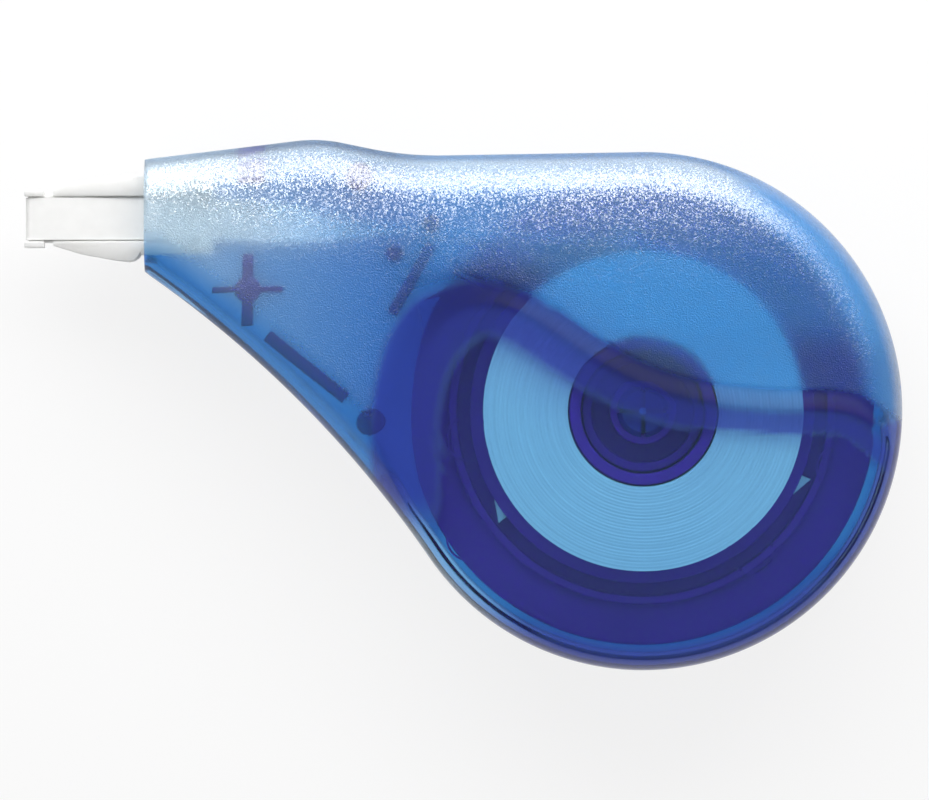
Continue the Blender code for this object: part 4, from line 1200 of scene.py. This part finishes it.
STOP_SIDES, STOP_REACH = (-45.5, -44.5), 3.2
STOPS = {"lower": (15.6, 16.95), "upper": (21.45, 23.45)}
SNAP_SIDES, SNAP_WALL = (-40.25, -37.55), 25.19
SNAP_FOOT = PARTING - 2.2
SNAP = (
    ("snap_block", -2.6, 0.5, RIB_FOOT, under_front, POST_BEVEL),
    ("snap_tongue", -1.2, -0.3, SNAP_FOOT, PARTING + 2.9, POST_BEVEL),
    ("snap_barb", -0.5, 0.3, SNAP_FOOT, PARTING - 1.4, 0.1),
)

hung, stood, tip_stops = [], [], []
for name, centre in DOWELS.items():
    foot_top = float(over_back(centre[None])[0]) + FOOT_RISE
    hung.append(upright_post(f"{name}_socket", round_plan(centre, SOCKET), FRONT_FOOT, under_front))
    stood.append(upright_post(f"{name}_dowel", round_plan(centre, DOWEL), over_back, PARTING - DOWEL_SHORT))
    stood.append(upright_post(f"{name}_dowel_foot", round_plan(centre, DOWEL_FOOT), over_back, foot_top))
for name, (reach, width) in NECK_RIBS.items():
    plan = bar_plan(DOWELS["neck"] - reach, DOWELS["neck"] + reach, width)
    hung.append(upright_post(f"neck_rib_{name}", plan, RIB_FOOT, under_front))
bar_middle, bar_way = polar(BAR_RADIUS, BAR_BEARING), polar(BAR_HALF, BAR_BEARING + 90)
chamber_bar = bar_plan(bar_middle - bar_way, bar_middle + bar_way, RIB)
hung.append(upright_post("chamber_bar", chamber_bar, FRONT_FOOT, under_front))
hung.append(upright_post("lower_rib", bar_plan(*LOWER_RIB, RIB), FRONT_FOOT, under_front))
for name, sides in STOPS.items():
    plan = box_plan(*STOP_SIDES, *sides)
    tip_stops.append(upright_post(f"{name}_front_stop", plan, PARTING + STOP_REACH, under_front))
    stood.append(upright_post(f"{name}_back_stop", plan, over_back, PARTING - STOP_REACH))
for name, near, far, low, high, bevel in SNAP:
    plan = box_plan(*SNAP_SIDES, SNAP_WALL + near, SNAP_WALL + far)
    hung.append(upright_post(name, plan, low, high, bevel))
for name, centre in GUIDES.items():
    guide_top = float(PARTING + PARTING * squeeze(centre[0]) - WALL - GUIDE_SHORT)
    stood.append(upright_post(f"{name}_guide", round_plan(centre, GUIDE), over_back, guide_top))
print("posts on the front", len(hung), "and on the back", len(stood))

# %% [markdown]
# ## Turned pieces
#
# Reels, core and axle are round, so each is a half profile with softened corners that is spun about the axle.
# The axle is then slotted crosswise with two thin blocks, which leaves four snap prongs.

# %% Spin a profile
CORNER_ROOM = 0.4


def softened(profile, radius, count=3):
    """Closed profile with each corner rounded, less where a side is short."""
    points = np.asarray(profile, float)
    line = []
    for i in range(len(points)):
        before, corner, after = points[i - 1], points[i], points[(i + 1) % len(points)]
        back, ahead = before - corner, after - corner
        cut = min(radius, min(np.linalg.norm(back), np.linalg.norm(ahead)) * CORNER_ROOM)
        first, last = corner + unit(back) * cut, corner + unit(ahead) * cut
        for t in np.linspace(0, 1, count + 1):
            line.append((1 - t) ** 2 * first + 2 * t * (1 - t) * corner + t ** 2 * last)
    return np.array(line)


def turned(name, profile, radius=0.15, steps=120):
    """Profile of (radius, level) in millimetres, spun about the axle."""
    fresh()
    line = softened(profile, radius)
    bpy.ops.mesh.primitive_circle_add(vertices=len(line), radius=MM, fill_type="NOTHING")
    piece = bpy.context.object
    piece.name = name
    place_points(piece, np.stack((line[:, 0], np.zeros(len(line)), line[:, 1]), 1))
    bpy.ops.object.mode_set(mode="EDIT")
    bpy.ops.mesh.select_all(action="SELECT")
    bpy.ops.mesh.spin(steps=steps, angle=math.tau, center=(0, 0, 0), axis=(0, 0, 1))
    merged(POINT_GAP)
    return settle(piece, 0)


def joined(name, pieces):
    """Make several posts one piece."""
    take(pieces[0])
    for piece in pieces:
        piece.select_set(True)
    bpy.ops.object.join()
    pieces[0].name = name
    return pieces[0]


print("turning kit ready")

# %% Axle with four prongs
AXLE_BORE, AXLE, PRONG, AXLE_FOOT = 0.35, 2.1, 2.65, 3.3
AXLE_LOW, FOOT_TOP, PRONG_LOW, AXLE_TOP = 1.0, 1.55, 13.45, 14.15
SLOT_LONG, SLOT_WIDE, SLOT_LOW, SLOT_HIGH = 6.2, 0.4, 10.7, 16.0
AXLE_ROUND, AXLE_STEPS = 0.12, 72

axle = turned("axle", [
    (AXLE_BORE, AXLE_LOW), (AXLE_FOOT, AXLE_LOW), (AXLE_FOOT, FOOT_TOP), (AXLE, FOOT_TOP), (AXLE, PRONG_LOW),
    (PRONG, PRONG_LOW), (AXLE, AXLE_TOP), (AXLE_BORE, AXLE_TOP)], AXLE_ROUND, AXLE_STEPS)
for name, x, y in (("slot_x", SLOT_LONG / 2, SLOT_WIDE / 2), ("slot_y", SLOT_WIDE / 2, SLOT_LONG / 2)):
    cutter = upright_post(name, box_plan(-x, x, -y, y), SLOT_LOW, SLOT_HIGH, 0)
    take(axle)
    slot = axle.modifiers.new(name, "BOOLEAN")
    slot.operation = "DIFFERENCE"
    slot.object = cutter
    slot.solver = "EXACT"
    bpy.ops.object.modifier_apply(modifier=name)
    bpy.data.objects.remove(cutter)
settle(axle, 0)
front_posts = joined("front_posts", hung)
front_stops = joined("front_stops", tip_stops)
back_posts = joined("back_posts", stood + [axle])
print("posts", len(front_posts.data.polygons), len(front_stops.data.polygons), len(back_posts.data.polygons))

# %% Reels and core
BORE, HUB = 2.25, 3.3
SPIGOT, CORE, ROLL = (5.15, 6.05), (6.2, 7.35), (7.5, 15.9)
FLANGE, TAKE_UP = 17.2, 23.4
DRUM, DRUM_STEP, SPENT = (18.5, 19.3), 18.95, (19.45, 19.95)
TAKE_UP_LOW, TAKE_UP_TRAY, TRAY_STEP, SPENT_LEVELS = 1.7, 2.4, 2.55, (2.6, 6.8)
DISC, DISC_TOP, HUB_LOW = 7.0, 7.7, 8.0
FLANGE_LOW, FLANGE_TOP, ROLL_LEVELS = 9.0, 9.7, (9.9, 14.1)
SPIGOT_TOP, HUB_TOP = 11.9, 13.3
RING = (19.1, TAKE_UP)
CORE_ROUND, DRUM_ROUND = 0.2, 0.12


def ring_profile(radii, levels):
    """Profile of a plain ring."""
    return [(radii[0], levels[0]), (radii[1], levels[0]), (radii[1], levels[1]), (radii[0], levels[1])]


supply_reel = turned("supply_reel_turned", [
    (BORE, HUB_LOW), (HUB, HUB_LOW), (HUB, FLANGE_LOW), (FLANGE, FLANGE_LOW), (FLANGE, FLANGE_TOP),
    (SPIGOT[1], FLANGE_TOP), (SPIGOT[1], SPIGOT_TOP), (SPIGOT[0], SPIGOT_TOP), (SPIGOT[0], FLANGE_TOP),
    (HUB, FLANGE_TOP), (HUB, HUB_TOP), (BORE, HUB_TOP)])
tape_core = turned("tape_core_turned", ring_profile(CORE, ROLL_LEVELS), CORE_ROUND)
take_up_reel = turned("take_up_reel_turned", [
    (BORE, TAKE_UP_LOW), (HUB, TAKE_UP_LOW), (HUB, DISC), (DRUM[0], DISC), (DRUM[0], TAKE_UP_LOW),
    (DRUM_STEP, TAKE_UP_LOW), (DRUM_STEP, TRAY_STEP), (DRUM[1], TRAY_STEP), (DRUM[1], DISC), (TAKE_UP, DISC),
    (TAKE_UP, DISC_TOP), (DRUM[1], DISC_TOP), (DRUM[1], FLANGE_LOW), (DRUM[0], FLANGE_LOW),
    (DRUM[0], DISC_TOP), (BORE, DISC_TOP)], DRUM_ROUND)
take_up_flange = turned("take_up_flange_turned", ring_profile(RING, (TAKE_UP_LOW, TAKE_UP_TRAY)))
print("turned pieces", len(supply_reel.data.polygons), len(take_up_reel.data.polygons))

# %% [markdown]
# ## Tape roll, spent tape and the run over the tip
#
# The roll is wound tape, so its face is one spiral from core to edge, with some turns standing a little
# prouder than others. A polar grid carries the ripple. The spent tape is the same on the drum. The free tape
# is a narrow grid that follows its path: off the roll, round a guide, a quarter twist to the tip, and back.

# %% Wind the roll
ROLL_TURNS, ROLL_RIPPLE, ROLL_COLUMNS = 26, 0.06, 240
SPENT_TURNS, SPENT_RIPPLE, SPENT_COLUMNS = 4, 0.03, 180
ROWS_PER_TURN = 5
LEAST_PROUD = 0.35
SCATTER = (12.9898, 43758.5453)


def wound(name, radii, levels, turns, depth, columns):
    """Ring of wound tape whose two faces carry one spiral ripple, each turn with a height of its own."""
    inner, outer = radii
    pitch = (outer - inner) / turns
    radius = np.linspace(inner, outer, turns * ROWS_PER_TURN + 1)[:, None]
    turn = np.linspace(0, math.tau, columns + 1)
    proud = LEAST_PROUD + (1 - LEAST_PROUD) * (np.sin(np.arange(turns + 3) * SCATTER[0]) * SCATTER[1] % 1.0)
    share = turn[None, :] / math.tau
    place = (radius - inner) / pitch - share
    number = np.clip(np.floor(place + 1).astype(int), 0, turns + 1)
    height = proud[number] * (1 - share) + proud[number + 1] * share
    ripple = depth * height * (np.cos(math.tau * place) - 1) / 2
    ripple[0] = ripple[-1] = 0
    x, y = radius * np.cos(turn), radius * np.sin(turn)
    upper = np.stack((x, y, levels[1] + ripple), 2)
    lower = np.stack((x, y, levels[0] - ripple), 2)[::-1]
    ring = laid_sheet(name, np.concatenate((upper, lower, upper[:1])))
    bpy.ops.object.mode_set(mode="EDIT")
    merged(POINT_GAP)
    return settle(ring, 0)


tape_roll = wound("tape_roll_wound", ROLL, ROLL_LEVELS, ROLL_TURNS, ROLL_RIPPLE, ROLL_COLUMNS)
spent_tape = wound("spent_tape_wound", SPENT, SPENT_LEVELS, SPENT_TURNS, SPENT_RIPPLE, SPENT_COLUMNS)
print("roll", len(tape_roll.data.polygons), "faces, open edges", open_edges(tape_roll))

# %% Lay the free tape along its path
TAPE_WIDTH, TAPE_THICKNESS, TAPE_GAP = 4.2, 0.06, 0.15
LAY = TAPE_GAP + TAPE_THICKNESS / 2
ROOT_END, TIP_END = -42.7, -61.7
WEB_HALF, NOSE = 2.3, 0.4
TIP_SHOULDER = MOUTH - 0.4
STRAIGHT_STEPS, POST_STEPS, TWIST_STEPS, TIP_STEPS, NOSE_STEPS, ACROSS = 8, 12, 42, 6, 25, 7
UP = np.array((0.0, 0.0, 1.0))


def belt(first, first_radius, second, second_radius):
    """Straight run between two rounds; a positive radius lies left of the run, a negative one right."""
    across = second - first
    bearing = math.atan2(across[1], across[0])
    bearing += math.asin((first_radius - second_radius) / np.linalg.norm(across))
    left = np.array((-math.sin(bearing), math.cos(bearing)))
    return first - left * first_radius, second - left * second_radius, left


def deep(direction):
    """A direction in plan, in space."""
    return np.array((direction[0], direction[1], 0.0))


def tape_path():
    """Middle, direction across and direction outward of the tape at each station."""
    stations = []
    middle = np.array((ROOT_END, TIP_LINE))
    axis = np.zeros(2)
    supply_level, return_level = sum(ROLL_LEVELS) / 2, sum(SPENT_LEVELS) / 2
    face = WEB_HALF + LAY
    round_guide = GUIDE + LAY

    def station(place, level, across, outward):
        stations.append((np.array((place[0], place[1], level)), unit(across), unit(outward)))

    def round_post(centre, start_left, end_left, level):
        for t in np.linspace(0, 1, POST_STEPS):
            left = unit(start_left + (end_left - start_left) * t)
            station(centre + left * round_guide, level, UP, -deep(left))

    start, arrive, out_left = belt(axis, ROLL[1] + LAY, GUIDES["supply"], -round_guide)
    for t in np.linspace(0, 1, STRAIGHT_STEPS, endpoint=False):
        station(start + (arrive - start) * t, supply_level, UP, -deep(out_left))
    leave_at, _, in_left = belt(GUIDES["supply"], -round_guide, middle, 0)
    round_post(GUIDES["supply"], out_left, in_left, supply_level)
    for t in np.linspace(0, 1, TWIST_STEPS)[1:-1]:
        angle = math.pi / 2 * smooth(t, 0, 1)
        left = deep(in_left + (np.array((0, -1.0)) - in_left) * t)
        station(leave_at + (middle - leave_at) * t, supply_level + (PARTING + face - supply_level) * t,
                UP * math.cos(angle) + left * math.sin(angle), UP * math.sin(angle) - left * math.cos(angle))
    across = np.array((0, -1.0, 0))
    nose = TIP_END + NOSE + 2 * TAPE_GAP
    for x in np.linspace(ROOT_END, TIP_SHOULDER, TIP_STEPS):
        station((x, TIP_LINE), PARTING + face, across, UP)
    slope = math.atan2(WEB_HALF - NOSE, TIP_SHOULDER - nose)
    for t in np.linspace(0, 1, NOSE_STEPS):
        angle = math.pi / 2 + slope * (1 - 2 * t) + math.pi * t
        outward = np.array((math.cos(angle), 0, math.sin(angle)))
        x, level = nose + (NOSE + LAY) * outward[0], PARTING + (NOSE + LAY) * outward[2]
        station((x, TIP_LINE), level, across, outward)
    for x in np.linspace(TIP_SHOULDER, ROOT_END, TIP_STEPS):
        station((x, TIP_LINE), PARTING - face, across, -UP)
    _, arrive, back_left = belt(middle, 0, GUIDES["return"], -round_guide)
    depart, end, down_left = belt(GUIDES["return"], -round_guide, axis, SPENT[1] + LAY)
    for t in np.linspace(0, 1, TWIST_STEPS)[1:-1]:
        angle = math.pi / 2 * smooth(t, 0, 1)
        left = deep(np.array((0, 1.0)) + (back_left - np.array((0, 1.0))) * t)
        station(middle + (arrive - middle) * t, PARTING - face + (return_level - PARTING + face) * t,
                UP * math.sin(angle) - left * math.cos(angle), -UP * math.cos(angle) - left * math.sin(angle))
    round_post(GUIDES["return"], back_left, down_left, return_level)
    for t in np.linspace(0, 1, STRAIGHT_STEPS)[1:]:
        station(depart + (end - depart) * t, return_level, UP, -deep(down_left))
    return stations


stations = tape_path()
shares = np.linspace(-0.5, 0.5, ACROSS)
tape_rows = np.array([[place + wide * TAPE_WIDTH * s for s in shares] for place, wide, _ in stations])
tape_run = laid_sheet("tape_run_laid", tape_rows)
take(tape_run)
wall = tape_run.modifiers.new("thickness", "SOLIDIFY")
wall.thickness = TAPE_THICKNESS * MM
wall.offset = 0
bpy.ops.object.modifier_apply(modifier="thickness")
settle(tape_run, 0)
length = sum(np.linalg.norm(b[0] - a[0]) for a, b in zip(stations, stations[1:]))
print("free tape", round(length, 1), "mm long, open edges", open_edges(tape_run))

# %% [markdown]
# ## Applicator tip and clutch
#
# These two have the right shape in the model, with sharp edges. A copy of each is merged back into flat faces
# and its edges are rounded, as a mould rounds them. The clutch's arms are then drawn in under the roll's
# flange, so that only their ends show beside it.

# %% Round the edges of copied pieces
TIP_ROUND, CLUTCH_ROUND = 0.14, 0.08
FLAT_WITHIN = math.radians(1.0)
CLUTCH_ENDS = np.array((98.0, 218.0, 338.0))
ARM_SWEEP, PAST_END, END_SWEEP = 100, 20, 7.0
ARM_LIMIT, END_RISE, SPRING_BACK = 16.9, 1.3, 0.05


def rounded_copy(node, name, bevel_mm, segments=3):
    """Copy of a model piece with merged faces and rounded edges."""
    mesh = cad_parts[node].data.copy()
    piece = bpy.data.objects.new(name, mesh)
    bpy.context.scene.collection.objects.link(piece)
    mesh.materials.clear()
    take(piece)
    bpy.ops.object.mode_set(mode="EDIT")
    bpy.ops.mesh.select_all(action="SELECT")
    bpy.ops.mesh.remove_doubles(threshold=POINT_GAP)
    bpy.ops.mesh.dissolve_limited(angle_limit=FLAT_WITHIN)
    bpy.ops.object.mode_set(mode="OBJECT")
    return settle(piece, bevel_mm, segments)


tip = rounded_copy("applicator_tip", "tip_rounded", TIP_ROUND)
clutch = rounded_copy("clutch_ring", "clutch_rounded", CLUTCH_ROUND, 2)
for vertex in clutch.data.vertices:
    reach = math.hypot(vertex.co.x, vertex.co.y) / MM
    bearing = math.degrees(math.atan2(vertex.co.y, vertex.co.x))
    back_from_end = ((CLUTCH_ENDS - bearing + PAST_END) % 360 - PAST_END).min()
    limit = ARM_LIMIT + END_RISE * float(np.clip(1 - back_from_end / END_SWEEP, 0, 1))
    if reach > limit and back_from_end < ARM_SWEEP:
        drawn_in = (limit + SPRING_BACK * (reach - limit)) / reach
        vertex.co.x *= drawn_in
        vertex.co.y *= drawn_in
print("tip", len(tip.data.polygons), "faces, clutch", len(clutch.data.polygons))

# %% [markdown]
# ## Finishes inside
#
# Reels and posts are the same dyed plastic, thick enough to look deep violet blue. The tape is matt white,
# with fine rings on the roll. The tip is milky and a little glossy, and the clutch is white acetal.

# %% Reel, post, tape and tip finishes
deep_blue, *_ = moulded(
    "reel_blue", {"Transmission Weight": 0.2, "IOR": 1.5, "Specular IOR Level": 0.05}, (3.0, 0.36, 0.50),
    (8.0, (0.20, 0.018, 0.44, 1), (0.22, 0.022, 0.47, 1)), (0.6, 2.0, 0.006, 0.5))
post_blue, *_ = moulded(
    "post_blue", {"Transmission Weight": 0.3, "IOR": 1.5, "Specular IOR Level": 0.3}, (2.0, 0.10, 0.22),
    (6.0, (0.03, 0.012, 0.30, 1), (0.04, 0.018, 0.36, 1)), (0.8, 2.0, 0.02, 0.5))
tape_white, *_ = moulded(
    "tape_white", {"Roughness": 0.5, "IOR": 1.45, "Specular IOR Level": 0.3}, None,
    (1.5, (0.90, 0.90, 0.89, 1), (0.87, 0.87, 0.86, 1)), (0.2, 2.0, 0.008, 0.5))
TIP_SOCKETS = {"Transmission Weight": 0.12, "IOR": 1.48, "Subsurface Weight": 0.7, "Subsurface Scale": 0.0012,
               "Subsurface Radius": (1, 1, 1)}
milky, *_ = moulded(
    "milky_tip", TIP_SOCKETS, (1.2, 0.28, 0.42),
    (4.0, (0.94, 0.94, 0.92, 1), (0.91, 0.91, 0.885, 1)), (0.35, 2.0, 0.01, 0.5))
acetal, *_ = moulded(
    "white_acetal", {"IOR": 1.48}, (1.0, 0.30, 0.45),
    (3.0, (0.88, 0.91, 0.93, 1), (0.82, 0.86, 0.89, 1)), (0.5, 2.0, 0.01, 0.5))


def radius_noise(tree, ring_mm):
    """Noise that changes only with the distance from the axle."""
    place = add(tree, "ShaderNodeTexCoord")
    flat = add(tree, "ShaderNodeVectorMath", operation="MULTIPLY")
    flat.inputs[1].default_value = (1, 1, 0)
    size = add(tree, "ShaderNodeVectorMath", operation="LENGTH")
    cloud = add(tree, "ShaderNodeTexNoise", noise_dimensions="1D", Scale=1.0 / (ring_mm * MM), Detail=3.0)
    tree.links.new(place.outputs["Object"], flat.inputs[0])
    tree.links.new(flat.outputs[0], size.inputs[0])
    tree.links.new(size.outputs["Value"], cloud.inputs["W"])
    return cloud.outputs["Fac"]


roll_white, tree, shader = surface("wound_tape", **{"Roughness": 0.55, "IOR": 1.45})
rings = ranged(tree, radius_noise(tree, 0.35), 0, 1)
tinted(tree, shader, rings, (0.93, 0.94, 0.95, 1), (0.82, 0.84, 0.87, 1))
ridges = bumped(tree, shader, radius_noise(tree, 0.12), 0.03, 0.8)
bumped(tree, shader, noise(tree, 0.25), 0.01, 0.5, ridges)
print("inner finishes ready")

# %% Put every piece on its body
PLACES = (
    (front_posts, post_blue, "case", None, "translucent_blue"),
    (front_stops, inner_blue, "case", None, "translucent_blue"),
    (back_posts, post_blue, "case", None, "translucent_blue"),
    (tip, milky, "case", "applicator_tip", "milky_white"),
    (tape_run, tape_white, "case", "tape_run", "white_tape"),
    (supply_reel, deep_blue, "supply", "supply_reel", "deep_blue"),
    (tape_core, deep_blue, "supply", "tape_core", "deep_blue"),
    (tape_roll, roll_white, "supply", "tape_roll", "white_tape"),
    (clutch, acetal, "supply", "clutch_ring", "white_acetal"),
    (take_up_reel, deep_blue, "take_up", "take_up_reel", "deep_blue"),
    (take_up_flange, deep_blue, "take_up", "take_up_flange", "deep_blue"),
    (spent_tape, tape_white, "take_up", "spent_tape", "white_tape"),
)
for piece, finish, body, node, slot in PLACES:
    piece.data.materials.clear()
    piece.data.materials.append(finish)
    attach(piece, body)
    if node:
        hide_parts(node)
print("pieces", len(PLACES), "and the two halves of the case")
